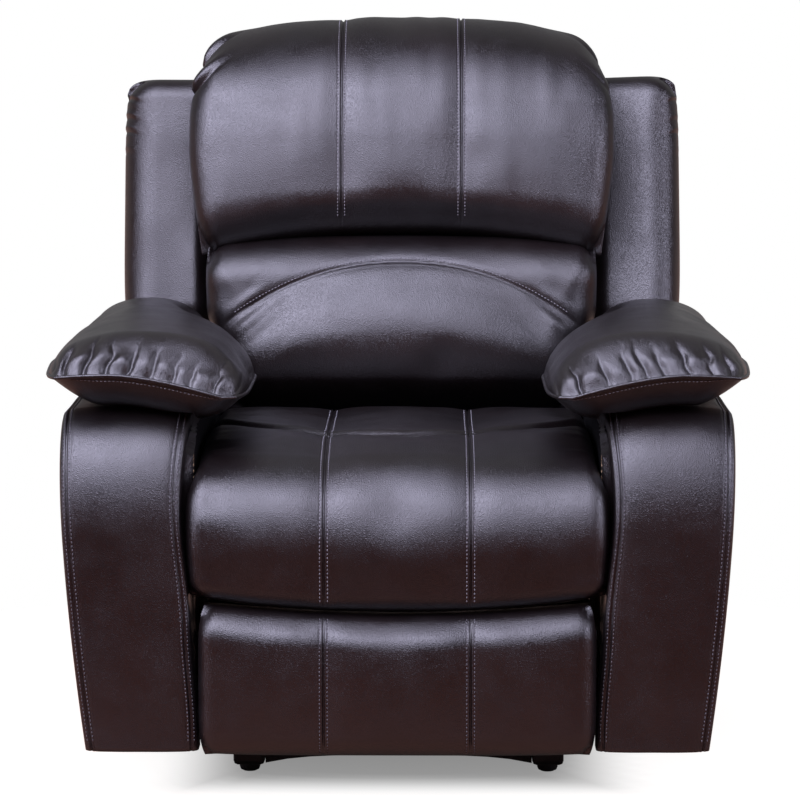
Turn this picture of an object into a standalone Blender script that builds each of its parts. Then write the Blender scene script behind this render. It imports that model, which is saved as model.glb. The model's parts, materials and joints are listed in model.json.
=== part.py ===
"""Rocker recliner: a padded armchair on a rocking base, with a reclining back and a linkage footrest.

Frame: metres, +Z up, the sitter faces -Y. The origin is on the floor under the middle of the chair's box.
Every object is one piece of the chair. Empties stand on the axes that the moving pieces turn about.
The left side is at -X and the right side at +X, as a viewer in front of the chair sees them.
"""

import math

import bmesh
import bpy
from mathutils import Matrix, Vector

# Fits
CLEARANCE = 0.0003
LINK_GAP = 0.0005
PIVOT_PLAY = 0.0004
PADDING_GAP = 0.003

# Base that stands on the floor
FOOT_TRACK = 0.418
FOOT_RADIUS = 0.0145
FOOT_DROP = 0.0125
FOOT_INSET = 0.030
RAIL_LENGTH = 0.540
RAIL_WIDTH = 0.044
RAIL_HEIGHT = 0.058
RAIL_FRONT_Y = -0.245
CROSS_RAIL_THICKNESS = 0.022
FRONT_RAIL_ARCH = 0.011
SPRING_BOARD_WIDTH = 0.080
SPRING_BOARD_THICKNESS = 0.018

# Rocker: cams whose round underside rolls on the base rails
ROCK_Y = 0.050
ROCK_RADIUS = 0.220
CAM_ARC_DEG = 12.0
CAM_LENGTH = 0.300
CAM_HEIGHT = 0.092
CAM_WIDTH = 0.036
TIE_BAR_WIDTH = 0.060
TIE_BAR_THICKNESS = 0.012
ROCKER_SPRING_RADIUS = 0.022
ROCKER_SPRING_WIRE = 0.0055
ROCKER_SPRING_TURNS = 5
ROCKER_SPRING_SPACING = 0.240

# Steel mechanism under the seat
ARM_GAP = 0.550
PLATE_THICKNESS = 0.004
LINK_THICKNESS = 0.0045
LINK_WIDTH = 0.026
PIVOT_RADIUS = 0.005
SHOULDER_RADIUS = 0.0075
RIVET_HEAD_RADIUS = 0.0085
RIVET_HEAD_THICKNESS = 0.0022
TUBE_SIZE = 0.025
TUBE_FRONT_Y = -0.030
TUBE_REAR_Y = 0.150
FLANGE_WIDTH = 0.034
MECHANISM_Z = 0.305
FRONT_PIVOT_Y = -0.260
CRANK_SPACING = 0.085
CRANK_LENGTH = 0.280
CRANK_REST_DEG = 30.0
LOWER_LINK_REACH = 0.195
LOWER_LINK_RISE = 0.0775
BRACKET_PIVOT_SPACING = 0.075
TORQUE_TUBE_RADIUS = 0.009
TORQUE_TUBE_OFFSET = 0.080

# Arms
ARM_WIDTH_TOP = 0.176
ARM_WIDTH_BOTTOM = 0.144
ARM_BOTTOM_Z = 0.072
ARM_TOP_Z = 0.525
ARM_FRONT_Y = -0.440
ARM_REAR_Y = 0.300
ARM_NOSE_RADIUS = 0.100
ARM_CORNER_RADIUS = 0.020
ARM_EDGE_RADIUS = 0.012
ARM_PANEL_THICKNESS = 0.015
ARM_PANEL_INSET = 0.055
PILLOW_WIDTH = 0.282
PILLOW_OVERHANG = 0.034
PILLOW_BOTTOM_HEIGHT = 0.036
PILLOW_TOP_HEIGHT = 0.070
PILLOW_FRONT_Y = -0.432
PILLOW_REAR_Y = 0.240
PILLOW_TAPER_LENGTH = 0.120

# Seat
SEAT_RAIL_HEIGHT = 0.030
SEAT_RAIL_WIDTH = 0.032
SEAT_FRAME_FRONT_Y = -0.338
SEAT_FRAME_REAR_Y = 0.130
SEAT_SPRING_COUNT = 3
SEAT_SPRING_WIRE = 0.0035
SEAT_SPRING_SWING = 0.024
SEAT_SPRING_WAVES = 7
SEAT_FRONT_Y = -0.462
SEAT_REAR_Y = 0.136
SEAT_THICKNESS = 0.116
SEAT_LIP_THICKNESS = 0.084
SEAT_LIP_Z = 0.276
SEAT_ROLL_RADIUS = 0.068
SEAT_CROWN = 0.010
LIP_SAG = 0.009
PANEL_SEAM_X = 0.0985
CHANNEL_DEPTH = 0.006
SIDE_PULL = 0.005

# Back
RECLINE_Y = 0.215
RECLINE_RISE = 0.025
BACK_TILT_DEG = 13.0
STILE_WIDTH = 0.030
STILE_DEPTH = 0.040
STILE_FRONT = 0.045
STILE_BELOW = 0.030
BACK_FRAME_TOP = 0.608
BACK_RAIL_HEIGHT = 0.040
WEBBING_HEIGHTS = (0.230, 0.470)
WEBBING_WIDTH = 0.060
WEBBING_THICKNESS = 0.0025
BRACKET_HEIGHT = 0.200
LUMBAR_BOTTOM = 0.130
LUMBAR_TOP = 0.394
LUMBAR_DEPTH = 0.150
LUMBAR_CROWN = 0.012
HEAD_BOTTOM = 0.396
HEAD_ROLL_RADIUS = 0.070
HEAD_DEPTH = 0.146
HEAD_TOP_THICKNESS = 0.114
HEAD_HALF_WIDTH = 0.310
HEAD_NECK_HALF_WIDTH = 0.272
HEAD_SEAM_X = 0.090
HEAD_CROWN = 0.014
WING_HALF_WIDTH = 0.425
WING_BOTTOM = 0.265
WING_TOP = 0.655
WING_FRONT = -0.012
WING_INNER_DEPTH = 0.036
BACK_PANEL_THICKNESS = 0.020
BACK_PANEL_CORNER = 0.030

# Footrest
FOOTREST_HALF_WIDTH = 0.262
FOOTREST_FRONT_Y = -0.462
FOOTREST_PAD_THICKNESS = 0.072
FOOTREST_BOTTOM_Z = 0.063
FOOTREST_TOP_Z = 0.268
FOOTREST_CROWN = 0.008
FOOTREST_BOARD_THICKNESS = 0.015
FOOTREST_BOARD_INSET = 0.014
BRACKET_FLANGE_WIDTH = 0.045

# Release pull in the outer face of the left arm
CUP_Y = -0.130
CUP_Z = 0.370
CUP_LENGTH = 0.120
CUP_HEIGHT = 0.078
CUP_DEPTH = 0.034
CUP_WALL = 0.003
BEZEL_MARGIN = 0.009
BEZEL_THICKNESS = 0.004
PADDLE_HEIGHT = 0.046
PADDLE_THICKNESS = 0.008
PADDLE_PIN_RADIUS = 0.003
PADDLE_SET_BACK = 0.009

# Levels and places that follow from the sizes above
LEFT, RIGHT = -1, 1
SIDES = {"left": LEFT, "right": RIGHT}
RAIL_BOTTOM_Z = FOOT_DROP
RAIL_TOP_Z = RAIL_BOTTOM_Z + RAIL_HEIGHT
RAIL_REAR_Y = RAIL_FRONT_Y + RAIL_LENGTH
ROCK_Z = RAIL_TOP_Z + CLEARANCE + ROCK_RADIUS
CAM_TOP_Z = RAIL_TOP_Z + CLEARANCE + CAM_HEIGHT
TUBE_BOTTOM_Z = CAM_TOP_Z + CLEARANCE
ARM_INNER_X = ARM_GAP / 2
PLATE_OUTER_X = ARM_INNER_X - CLEARANCE
PLATE_INNER_X = PLATE_OUTER_X - PLATE_THICKNESS
LINK_PITCH = LINK_THICKNESS + LINK_GAP
FLANGE_BOTTOM_Z = MECHANISM_Z + LINK_WIDTH / 2 + 0.004
FLANGE_TOP_Z = FLANGE_BOTTOM_Z + PLATE_THICKNESS
SEAT_RAIL_BOTTOM_Z = FLANGE_TOP_Z + CLEARANCE
SEAT_RAIL_TOP_Z = SEAT_RAIL_BOTTOM_Z + SEAT_RAIL_HEIGHT
SEAT_SPRING_Z = SEAT_RAIL_TOP_Z + CLEARANCE + SEAT_SPRING_WIRE / 2
SEAT_BOTTOM_Z = SEAT_SPRING_Z + SEAT_SPRING_WIRE / 2 + CLEARANCE
RECLINE_Z = MECHANISM_Z + RECLINE_RISE
STILE_REAR = STILE_FRONT + STILE_DEPTH
PAD_REST = STILE_FRONT - WEBBING_THICKNESS - 2 * CLEARANCE
FOOTREST_PAD_REAR_Y = FOOTREST_FRONT_Y + FOOTREST_PAD_THICKNESS
FOOTREST_BOARD_REAR_Y = FOOTREST_PAD_REAR_Y + CLEARANCE + FOOTREST_BOARD_THICKNESS


def layer(number):
    """How far a link in that layer, counted inwards from the plate, lies from the middle plane."""
    outer = PLATE_INNER_X - LINK_GAP - (number - 1) * LINK_PITCH
    return outer - LINK_THICKNESS, outer


# Pivots of the footrest linkage, each as (y, z) with the footrest closed
CRANK_DOWN = Vector((math.sin(math.radians(CRANK_REST_DEG)), -math.cos(math.radians(CRANK_REST_DEG))))
FRONT_PIVOT = Vector((FRONT_PIVOT_Y, MECHANISM_Z))
REAR_PIVOT = FRONT_PIVOT + Vector((CRANK_SPACING, 0))
FRONT_KNEE = FRONT_PIVOT + CRANK_LENGTH * CRANK_DOWN
REAR_KNEE = REAR_PIVOT + CRANK_LENGTH * CRANK_DOWN
UPPER_KNEE = FRONT_KNEE - BRACKET_PIVOT_SPACING * CRANK_DOWN
LOWER_TOE = FRONT_KNEE + Vector((-LOWER_LINK_REACH, LOWER_LINK_RISE))
UPPER_TOE = LOWER_TOE - BRACKET_PIVOT_SPACING * CRANK_DOWN
TORQUE_TUBE = FRONT_PIVOT + TORQUE_TUBE_OFFSET * CRANK_DOWN

PARTS = bpy.data.collections.new("rocker_recliner")
HELPERS = bpy.data.collections.new("cutters")


# Scene and materials


def clear_scene():
    for obj in list(bpy.data.objects):
        bpy.data.objects.remove(obj, do_unlink=True)
    for collection in (PARTS, HELPERS):
        bpy.context.scene.collection.children.link(collection)


def material(name, colour, roughness, metallic=0.0):
    made = bpy.data.materials.new(name)
    made.use_nodes = True
    shader = made.node_tree.nodes["Principled BSDF"]
    shader.inputs["Base Color"].default_value = (*colour, 1.0)
    shader.inputs["Roughness"].default_value = roughness
    shader.inputs["Metallic"].default_value = metallic
    return made


LEATHER = material("black_leather", (0.022, 0.020, 0.023), 0.36)
TIMBER = material("timber", (0.45, 0.31, 0.17), 0.70)
BLACK_TIMBER = material("black_timber", (0.020, 0.018, 0.018), 0.55)
STEEL = material("black_steel", (0.050, 0.050, 0.052), 0.42, 0.9)
SPRING_STEEL = material("spring_steel", (0.32, 0.31, 0.30), 0.35, 1.0)
WEBBING = material("webbing", (0.060, 0.058, 0.062), 0.85)
PLASTIC = material("black_plastic", (0.018, 0.018, 0.019), 0.40)


# Modelling helpers


def add_object(name, data, finish, collection=None):
    obj = bpy.data.objects.new(name, data)
    (collection or PARTS).objects.link(obj)
    if finish is not None:
        data.materials.append(finish)
    return obj


def add_helper(name, data):
    obj = add_object(name, data, None, HELPERS)
    obj.hide_render = True
    obj.display_type = "WIRE"
    return obj


def add_axis(name, y, z, tilt_deg=0.0):
    """An empty on a joint's axis, which runs along X."""
    empty = bpy.data.objects.new(name, None)
    PARTS.objects.link(empty)
    empty.location = (0, y, z)
    empty.rotation_euler = (-math.radians(tilt_deg), 0, 0)
    bpy.context.view_layer.update()
    return empty


def carry(empty, *pieces):
    """Parents pieces that stand in the chair's frame to an empty, and leaves them where they are."""
    for piece in pieces:
        piece.parent = empty
        piece.matrix_parent_inverse = empty.matrix_world.inverted()


def smooth(mesh, angle_deg=35.0):
    mesh.shade_smooth()
    mesh.set_sharp_from_angle(angle=math.radians(angle_deg))


def box_mesh(name, low, high):
    """A box between two opposite corners, given in any order."""
    low, high = Vector(low), Vector(high)
    bm = bmesh.new()
    bmesh.ops.create_cube(bm, size=1.0)
    bmesh.ops.scale(bm, vec=[abs(n) for n in high - low], verts=bm.verts)
    bmesh.ops.translate(bm, vec=(low + high) / 2, verts=bm.verts)
    mesh = bpy.data.meshes.new(name)
    bm.to_mesh(mesh)
    bm.free()
    return mesh


def add_box(name, low, high, finish, edge=0.0, segments=1):
    obj = add_object(name, box_mesh(name, low, high), finish)
    if edge:
        bevel = obj.modifiers.new("rounded_edges", "BEVEL")
        bevel.width = edge
        bevel.segments = segments
    return obj


def arc(centre, radius, start_deg, end_deg, steps):
    """Points along an arc in a plane, both ends included."""
    found = []
    for step in range(steps + 1):
        angle = math.radians(start_deg + (end_deg - start_deg) * step / steps)
        found.append(Vector(centre) + radius * Vector((math.cos(angle), math.sin(angle))))
    return found


def circle(centre, radius, steps=14):
    return arc(centre, radius, 0, 360, steps)[:-1]


def rounded(corners, radius, steps=3):
    """A closed outline through the corners, each of them rounded off."""
    outline = []
    count = len(corners)
    for index in range(count):
        before, here, after = (Vector(corners[(index + n) % count]) for n in (-1, 0, 1))
        towards, away = (before - here), (after - here)
        limit = 0.45 * min(towards.length, away.length)
        half_angle = towards.angle(away) / 2
        reach = min(radius / math.tan(half_angle), limit)
        start, end = here + reach * towards.normalized(), here + reach * away.normalized()
        for step in range(steps + 1):
            t = step / steps
            outline.append(start * (1 - t) ** 2 + here * 2 * t * (1 - t) + end * t**2)
    return outline


def bar_outline(points, width, steps=5):
    """The outline of a flat bar with round ends that follows two or three pivots."""
    half = width / 2
    ahead, behind = [], []
    for a, b in zip(points, points[1:]):
        along = (b - a).normalized()
        side = Vector((-along.y, along.x)) * half
        ahead.append((a + side, b + side))
        behind.append((a - side, b - side))
    outline = end_cap(points[-1], points[-1] - points[-2], half, steps)
    outline += corner_points(ahead[::-1], True)
    outline += end_cap(points[0], points[0] - points[1], half, steps)
    outline += corner_points(behind, False)
    return outline


def end_cap(centre, outward, radius, steps):
    facing = math.degrees(math.atan2(outward.y, outward.x))
    return arc(centre, radius, facing - 90, facing + 90, steps)


def corner_points(edges, backwards):
    """Where the parallel edges of a bent bar meet each other."""
    found = []
    for (a, b), (c, d) in zip(edges, edges[1:]):
        along, other = (a - b, c - d) if backwards else (b - a, d - c)
        offset = c - a
        cross = along.x * other.y - along.y * other.x
        t = (offset.x * other.y - offset.y * other.x) / cross
        found.append(a + along * t)
    return found


def flat_mesh(name, outlines, thickness, x_middle):
    """A flat plate that stands in the YZ plane, from outlines of (y, z): the outer one, then any holes."""
    curve = bpy.data.curves.new(name, "CURVE")
    curve.dimensions = "2D"
    curve.fill_mode = "BOTH"
    curve.extrude = thickness / 2
    for outline in outlines:
        spline = curve.splines.new("POLY")
        spline.points.add(len(outline) - 1)
        for point, (y, z) in zip(spline.points, outline):
            point.co = (y, z, 0, 1)
        spline.use_cyclic_u = True
    flat = add_helper(name + "_outline", curve)
    flat.matrix_world = Matrix(((0, 0, 1, x_middle), (1, 0, 0, 0), (0, 1, 0, 0), (0, 0, 0, 1)))
    bpy.context.view_layer.update()
    mesh = bpy.data.meshes.new_from_object(flat.evaluated_get(bpy.context.evaluated_depsgraph_get()))
    mesh.transform(flat.matrix_world)
    bpy.data.objects.remove(flat)
    bm = bmesh.new()
    bm.from_mesh(mesh)
    bmesh.ops.remove_doubles(bm, verts=bm.verts, dist=0.00001)
    bmesh.ops.recalc_face_normals(bm, faces=bm.faces)
    bm.to_mesh(mesh)
    bm.free()
    mesh.name = name
    return mesh


def add_plate(name, outlines, side, inner, outer, finish=STEEL):
    """A flat plate on one side of the chair, between two distances from the middle plane."""
    mesh = flat_mesh(name, outlines, outer - inner, side * (inner + outer) / 2)
    return add_object(name, mesh, finish)


def add_stud(name, side, pivot, profile, steps=12):
    """A rivet turned about an axis along X, from (radius, distance from the middle plane), outside first."""
    mesh = bpy.data.meshes.new(name)
    points = [(0.0, profile[0][1]), *profile, (0.0, profile[-1][1])]
    edges = [(n, n + 1) for n in range(len(points) - 1)]
    mesh.from_pydata([(radius, 0, x) for radius, x in points], edges, [])
    stud = add_helper(name, mesh)
    turn = stud.modifiers.new("turned", "SCREW")
    turn.axis = "Z"
    turn.steps = turn.render_steps = steps
    turn.use_merge_vertices = True
    turn.merge_threshold = 0.00001
    upright = Matrix.Rotation(side * math.pi / 2, 4, "Y")
    stud.matrix_world = Matrix.Translation((0, *pivot)) @ upright
    return stud


def rivet_profile(root, layers):
    """Shaft and head of a rivet that starts inside its own plate at root and holds the last of these layers."""
    profile = []
    for number in layers[:-1]:
        inner, _ = layer(number)
        profile += [(SHOULDER_RADIUS, root if not profile else profile[-1][1]), (SHOULDER_RADIUS, inner)]
    inner, _ = layer(layers[-1])
    seat = inner - LINK_GAP / 2
    start = profile[-1][1] if profile else root
    profile += [(PIVOT_RADIUS, start), (PIVOT_RADIUS, seat)]
    profile += [(RIVET_HEAD_RADIUS, seat), (RIVET_HEAD_RADIUS, seat - RIVET_HEAD_THICKNESS)]
    return profile


def boolean(obj, other, operation):
    step = obj.modifiers.new(operation.lower(), "BOOLEAN")
    step.operation = operation
    step.object = other


def join(obj, *others):
    for other in others:
        boolean(obj, other, "UNION")


def cut(obj, *others):
    for other in others:
        boolean(obj, other, "DIFFERENCE")


def pivot_hole(centre):
    return circle(centre, (PIVOT_RADIUS + PIVOT_PLAY) / math.cos(math.pi / 14))


def soft_block(name, stations, shape, finish=LEATHER):
    """A padded form: a cube cut at the stations along its three axes, reshaped by a formula and subdivided."""
    bm = bmesh.new()
    bmesh.ops.create_cube(bm, size=2.0)
    for axis, places in enumerate(stations):
        edges = [e for e in bm.edges if abs(abs(e.verts[0].co[axis] - e.verts[1].co[axis]) - 2.0) < 1e-4]
        if len(places) > 2:
            bmesh.ops.subdivide_edges(bm, edges=edges, cuts=len(places) - 2, use_grid_fill=True)
    for vert in bm.verts:
        place = []
        for axis, places in enumerate(stations):
            index = round((vert.co[axis] + 1) / 2 * (len(places) - 1))
            place.append(places[index])
        vert.co = shape(*place)
    if bm.calc_volume(signed=True) < 0:
        bmesh.ops.reverse_faces(bm, faces=bm.faces)
    mesh = bpy.data.meshes.new(name)
    bm.to_mesh(mesh)
    bm.free()
    mesh.shade_smooth()
    obj = add_object(name, mesh, finish)
    rounding = obj.modifiers.new("padding", "SUBSURF")
    rounding.levels = rounding.render_levels = 1
    fit_cage(obj)
    return obj


def fit_cage(obj):
    """Stretches a subdivided form's cage until the rounded form fills the box that the cage was drawn to."""
    bpy.context.view_layer.update()
    rounded_form = obj.evaluated_get(bpy.context.evaluated_depsgraph_get())
    for axis in range(3):
        drawn = [vert.co[axis] for vert in obj.data.vertices]
        shown = [vert.co[axis] for vert in rounded_form.data.vertices]
        stretch = (max(drawn) - min(drawn)) / (max(shown) - min(shown))
        for vert in obj.data.vertices:
            vert.co[axis] = min(drawn) + (vert.co[axis] - min(shown)) * stretch


def even(count):
    """Evenly spaced stations from -1 to 1."""
    return [-1 + 2 * n / count for n in range(count + 1)]


def seamed(half_width, seam):
    """Stations across a cushion of three panels, close together beside the two seams."""
    at, near = seam / half_width, 0.014 / half_width
    right = [at - near, at, at + near, (at + 1) / 2, 1.0]
    return [-n for n in reversed(right)] + [0.0] + right


def swell(t):
    """One at the middle and zero at both ends."""
    return 1 - t * t


def seam_valley(x, seam):
    """How far a channel at both seams is drawn in at a distance x from the middle."""
    return CHANNEL_DEPTH * math.exp(-((abs(x) - seam) / 0.008) ** 2)


def superellipse(a, b, c, power):
    """Moves a point of a cube's surface onto a rounded box."""
    largest = max(abs(a), abs(b), abs(c))
    norm = (abs(a) ** power + abs(b) ** power + abs(c) ** power) ** (1 / power)
    return Vector((a, b, c)) * (largest / norm)


def bent_path(start, along, turn_at, radius, toward, end, share):
    """A point and outward normal on a path that runs along a line, turns through an arc and goes on to an end."""
    straight = (turn_at - start).length
    bend = radius * math.pi / 2
    tail = (end - (turn_at + radius * along + radius * toward)).length
    place = share * (straight + bend + tail)
    outward = -toward
    if place <= straight:
        return start + along * place, outward
    if place <= straight + bend:
        angle = (place - straight) / radius
        centre = turn_at + radius * toward
        normal = math.cos(angle) * outward + math.sin(angle) * along
        return centre + radius * normal, normal
    return turn_at + radius * (along + toward) + toward * (place - straight - bend), along


def wire(name, points, diameter, finish=SPRING_STEEL):
    """A round wire through the points, as one tube with closed ends."""
    curve = bpy.data.curves.new(name, "CURVE")
    curve.dimensions = "3D"
    curve.bevel_depth = diameter / 2
    curve.bevel_resolution = 1
    curve.use_fill_caps = True
    spline = curve.splines.new("POLY")
    spline.points.add(len(points) - 1)
    for point, place in zip(spline.points, points):
        point.co = (*place, 1)
    print(f"{name}: least gap to itself {least_gap(points, diameter) * 1000:.2f} mm")
    return add_object(name, curve, finish)


def least_gap(points, diameter):
    """The least distance between turns of a wire, measured on its points away from the ones next to them."""
    run = [0.0]
    for a, b in zip(points, points[1:]):
        run.append(run[-1] + (b - a).length)
    least = math.inf
    for i, a in enumerate(points):
        for j in range(i + 1, len(points)):
            if run[j] - run[i] > 4 * diameter:
                least = min(least, (points[j] - a).length)
    return least - diameter


# Base


def make_base():
    for name, side in SIDES.items():
        middle = side * FOOT_TRACK / 2
        low = (middle - RAIL_WIDTH / 2, RAIL_FRONT_Y, RAIL_BOTTOM_Z)
        high = (middle + RAIL_WIDTH / 2, RAIL_REAR_Y, RAIL_TOP_Z)
        add_box(f"base_rail_{name}", low, high, BLACK_TIMBER, edge=0.006, segments=2)
        add_foot(f"foot_front_{name}", middle, RAIL_FRONT_Y + FOOT_INSET)
        add_foot(f"foot_rear_{name}", middle, RAIL_REAR_Y - FOOT_INSET)
    half = (FOOT_TRACK - RAIL_WIDTH) / 2 - CLEARANCE
    add_front_rail(half)
    rear = RAIL_REAR_Y - FOOT_INSET
    low = (-half, rear - CROSS_RAIL_THICKNESS / 2, RAIL_BOTTOM_Z)
    high = (half, rear + CROSS_RAIL_THICKNESS / 2, RAIL_TOP_Z)
    add_box("base_rear_rail", low, high, BLACK_TIMBER, edge=0.003)
    low = (-half, ROCK_Y - SPRING_BOARD_WIDTH / 2, RAIL_BOTTOM_Z)
    high = (half, ROCK_Y + SPRING_BOARD_WIDTH / 2, RAIL_BOTTOM_Z + SPRING_BOARD_THICKNESS)
    add_box("base_spring_board", low, high, BLACK_TIMBER, edge=0.003)


def add_foot(name, x, y):
    """A turned glide with a domed sole, flat where it meets the floor."""
    top = FOOT_DROP - CLEARANCE
    sole = 0.6 * FOOT_RADIUS
    profile = [(0, top), (FOOT_RADIUS, top), (FOOT_RADIUS, 0.5 * top)]
    profile += [(0.9 * FOOT_RADIUS, 0.18 * top), (sole, 0), (0, 0)]
    mesh = bpy.data.meshes.new(name)
    edges = [(n, n + 1) for n in range(len(profile) - 1)]
    mesh.from_pydata([(radius, 0, z) for radius, z in profile], edges, [])
    foot = add_object(name, mesh, PLASTIC)
    foot.location = (x, y, 0)
    turn = foot.modifiers.new("turned", "SCREW")
    turn.steps = turn.render_steps = 20
    turn.use_merge_vertices = True
    turn.merge_threshold = 0.00001


def add_front_rail(half):
    """The front cross rail, whose lower edge is an arch between the feet."""
    arch = []
    steps = 12
    for step in range(steps + 1):
        x = -half + 2 * half * step / steps
        arch.append((x, RAIL_BOTTOM_Z + FRONT_RAIL_ARCH * (1 - (x / half) ** 4)))
    outline = [*arch, (half, RAIL_TOP_Z), (-half, RAIL_TOP_Z)]
    mesh = flat_mesh("base_front_rail", [outline], CROSS_RAIL_THICKNESS, 0)
    front = RAIL_FRONT_Y + FOOT_INSET
    mesh.transform(Matrix.Translation((0, front, 0)) @ Matrix.Rotation(-math.pi / 2, 4, "Z"))
    add_object("base_front_rail", mesh, BLACK_TIMBER)


def make_rocker_springs():
    """Upright coil springs between the base's spring board and the bar that ties the cams."""
    bottom = RAIL_BOTTOM_Z + SPRING_BOARD_THICKNESS + CLEARANCE + ROCKER_SPRING_WIRE / 2
    top = CAM_TOP_Z - TIE_BAR_THICKNESS - CLEARANCE - ROCKER_SPRING_WIRE / 2
    steps_a_turn = 8
    count = ROCKER_SPRING_TURNS * steps_a_turn
    for name, side in SIDES.items():
        points = []
        for step in range(count + 1):
            angle = 2 * math.pi * step / steps_a_turn
            x = side * (ROCKER_SPRING_SPACING / 2 + ROCKER_SPRING_RADIUS * math.cos(angle))
            y = ROCK_Y + ROCKER_SPRING_RADIUS * math.sin(angle)
            points.append(Vector((x, y, bottom + (top - bottom) * step / count)))
        wire(f"rocker_spring_{name}", points, ROCKER_SPRING_WIRE)


# Rocking chassis


def make_chassis(axis):
    half_arc = ROCK_RADIUS * math.sin(math.radians(CAM_ARC_DEG))
    slope = math.tan(math.radians(CAM_ARC_DEG))
    arc_end_z = ROCK_Z - ROCK_RADIUS * math.cos(math.radians(CAM_ARC_DEG))
    end_z = arc_end_z + (CAM_LENGTH / 2 - half_arc) * slope
    under = arc((ROCK_Y, ROCK_Z), ROCK_RADIUS, -90 - CAM_ARC_DEG, -90 + CAM_ARC_DEG, 10)
    front, rear = ROCK_Y - CAM_LENGTH / 2, ROCK_Y + CAM_LENGTH / 2
    outline = [(front, end_z), *under, (rear, end_z), (rear, CAM_TOP_Z), (front, CAM_TOP_Z)]
    for name, side in SIDES.items():
        middle = FOOT_TRACK / 2
        inner, outer = middle - CAM_WIDTH / 2, middle + CAM_WIDTH / 2
        cam = add_plate(f"rocker_cam_{name}", [outline], side, inner, outer, TIMBER)
        carry(axis, cam, add_mechanism_plate(name, side))
    half = FOOT_TRACK / 2 - CAM_WIDTH / 2 - CLEARANCE
    low = (-half, ROCK_Y - TIE_BAR_WIDTH / 2, CAM_TOP_Z - TIE_BAR_THICKNESS)
    high = (half, ROCK_Y + TIE_BAR_WIDTH / 2, CAM_TOP_Z)
    carry(axis, add_box("cam_tie_bar", low, high, TIMBER, edge=0.002))
    for name, y in (("front", TUBE_FRONT_Y), ("rear", TUBE_REAR_Y)):
        half = PLATE_INNER_X - CLEARANCE
        low = (-half, y - TUBE_SIZE / 2, TUBE_BOTTOM_Z)
        high = (half, y + TUBE_SIZE / 2, TUBE_BOTTOM_Z + TUBE_SIZE)
        carry(axis, add_box(f"cross_tube_{name}", low, high, STEEL, edge=0.003, segments=2))


def add_mechanism_plate(name, side):
    """A stamped side plate: web, flange under the seat rail, and rivets for both cranks and the back."""
    eye = 0.75 * LINK_WIDTH
    low = TUBE_BOTTOM_Z - 0.012
    web_top = (FLANGE_BOTTOM_Z + FLANGE_TOP_Z) / 2
    ear_top = RECLINE_Z + eye
    corners = [
        (FRONT_PIVOT.x - eye, MECHANISM_Z - eye),
        (FRONT_PIVOT.x + 0.5 * CRANK_SPACING, MECHANISM_Z - 1.6 * eye),
        (TUBE_FRONT_Y - TUBE_SIZE, low),
        (TUBE_REAR_Y + TUBE_SIZE, low),
        (RECLINE_Y + eye, RECLINE_Z - eye),
        (RECLINE_Y + eye, ear_top),
        (RECLINE_Y - eye, ear_top),
        (RECLINE_Y - 1.6 * eye, web_top),
        (FRONT_PIVOT.x - eye, web_top),
    ]
    middle_z = (FLANGE_BOTTOM_Z + TUBE_BOTTOM_Z + TUBE_SIZE) / 2
    holes = [
        circle((TUBE_FRONT_Y, middle_z), 0.026),
        circle(((TUBE_FRONT_Y + TUBE_REAR_Y) / 2, middle_z - 0.002), 0.020, 16),
    ]
    outlines = [rounded(corners, 0.016), *holes]
    plate = add_plate(f"mechanism_plate_{name}", outlines, side, PLATE_INNER_X, PLATE_OUTER_X)
    root = (PLATE_INNER_X + PLATE_OUTER_X) / 2
    flange = add_helper(
        f"plate_flange_{name}",
        box_mesh(
            "plate_flange",
            (side * (root - FLANGE_WIDTH), FRONT_PIVOT.x, FLANGE_BOTTOM_Z),
            (side * root, RECLINE_Y - 2.2 * eye, FLANGE_TOP_Z),
        ),
    )
    join(plate, flange)
    pivots = {"front": FRONT_PIVOT, "rear": REAR_PIVOT, "back": Vector((RECLINE_Y, RECLINE_Z))}
    for place, pivot in pivots.items():
        join(plate, add_stud(f"plate_rivet_{place}_{name}", side, pivot, rivet_profile(root, [1])))
    smooth(plate.data)
    return plate


# Arms


def arm_width(z):
    share = (z - ARM_BOTTOM_Z) / (ARM_TOP_Z - ARM_BOTTOM_Z)
    return ARM_WIDTH_BOTTOM + (ARM_WIDTH_TOP - ARM_WIDTH_BOTTOM) * share


def make_arms(axis):
    for name, side in SIDES.items():
        cover = add_arm_cover(name, side)
        panel = add_arm_frame(name, side, cover)
        carry(axis, cover, panel, add_arm_pillow(name, side))


def add_arm_cover(name, side):
    """The upholstered arm: a side outline with a round nose, wider at the top than at the bottom."""
    nose = arc((ARM_FRONT_Y + ARM_NOSE_RADIUS, ARM_TOP_Z - ARM_NOSE_RADIUS), ARM_NOSE_RADIUS, 180, 90, 7)
    tail_centre = (ARM_REAR_Y - ARM_CORNER_RADIUS, ARM_TOP_Z - ARM_CORNER_RADIUS)
    tail = arc(tail_centre, ARM_CORNER_RADIUS, 90, 0, 3)
    outline = [*nose, *tail, (ARM_REAR_Y, ARM_BOTTOM_Z), (ARM_FRONT_Y, ARM_BOTTOM_Z)]
    outer = ARM_INNER_X + ARM_WIDTH_TOP
    cover = add_plate(f"arm_cover_{name}", [outline], side, ARM_INNER_X, outer, LEATHER)
    for vert in cover.data.vertices:
        if abs(vert.co.x) > (ARM_INNER_X + outer) / 2:
            vert.co.x = side * (ARM_INNER_X + arm_width(vert.co.z))
    bevel = cover.modifiers.new("rounded_edges", "BEVEL")
    bevel.width = ARM_EDGE_RADIUS
    bevel.segments = 2
    bevel.angle_limit = math.radians(40)
    smooth(cover.data)
    return cover


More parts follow.
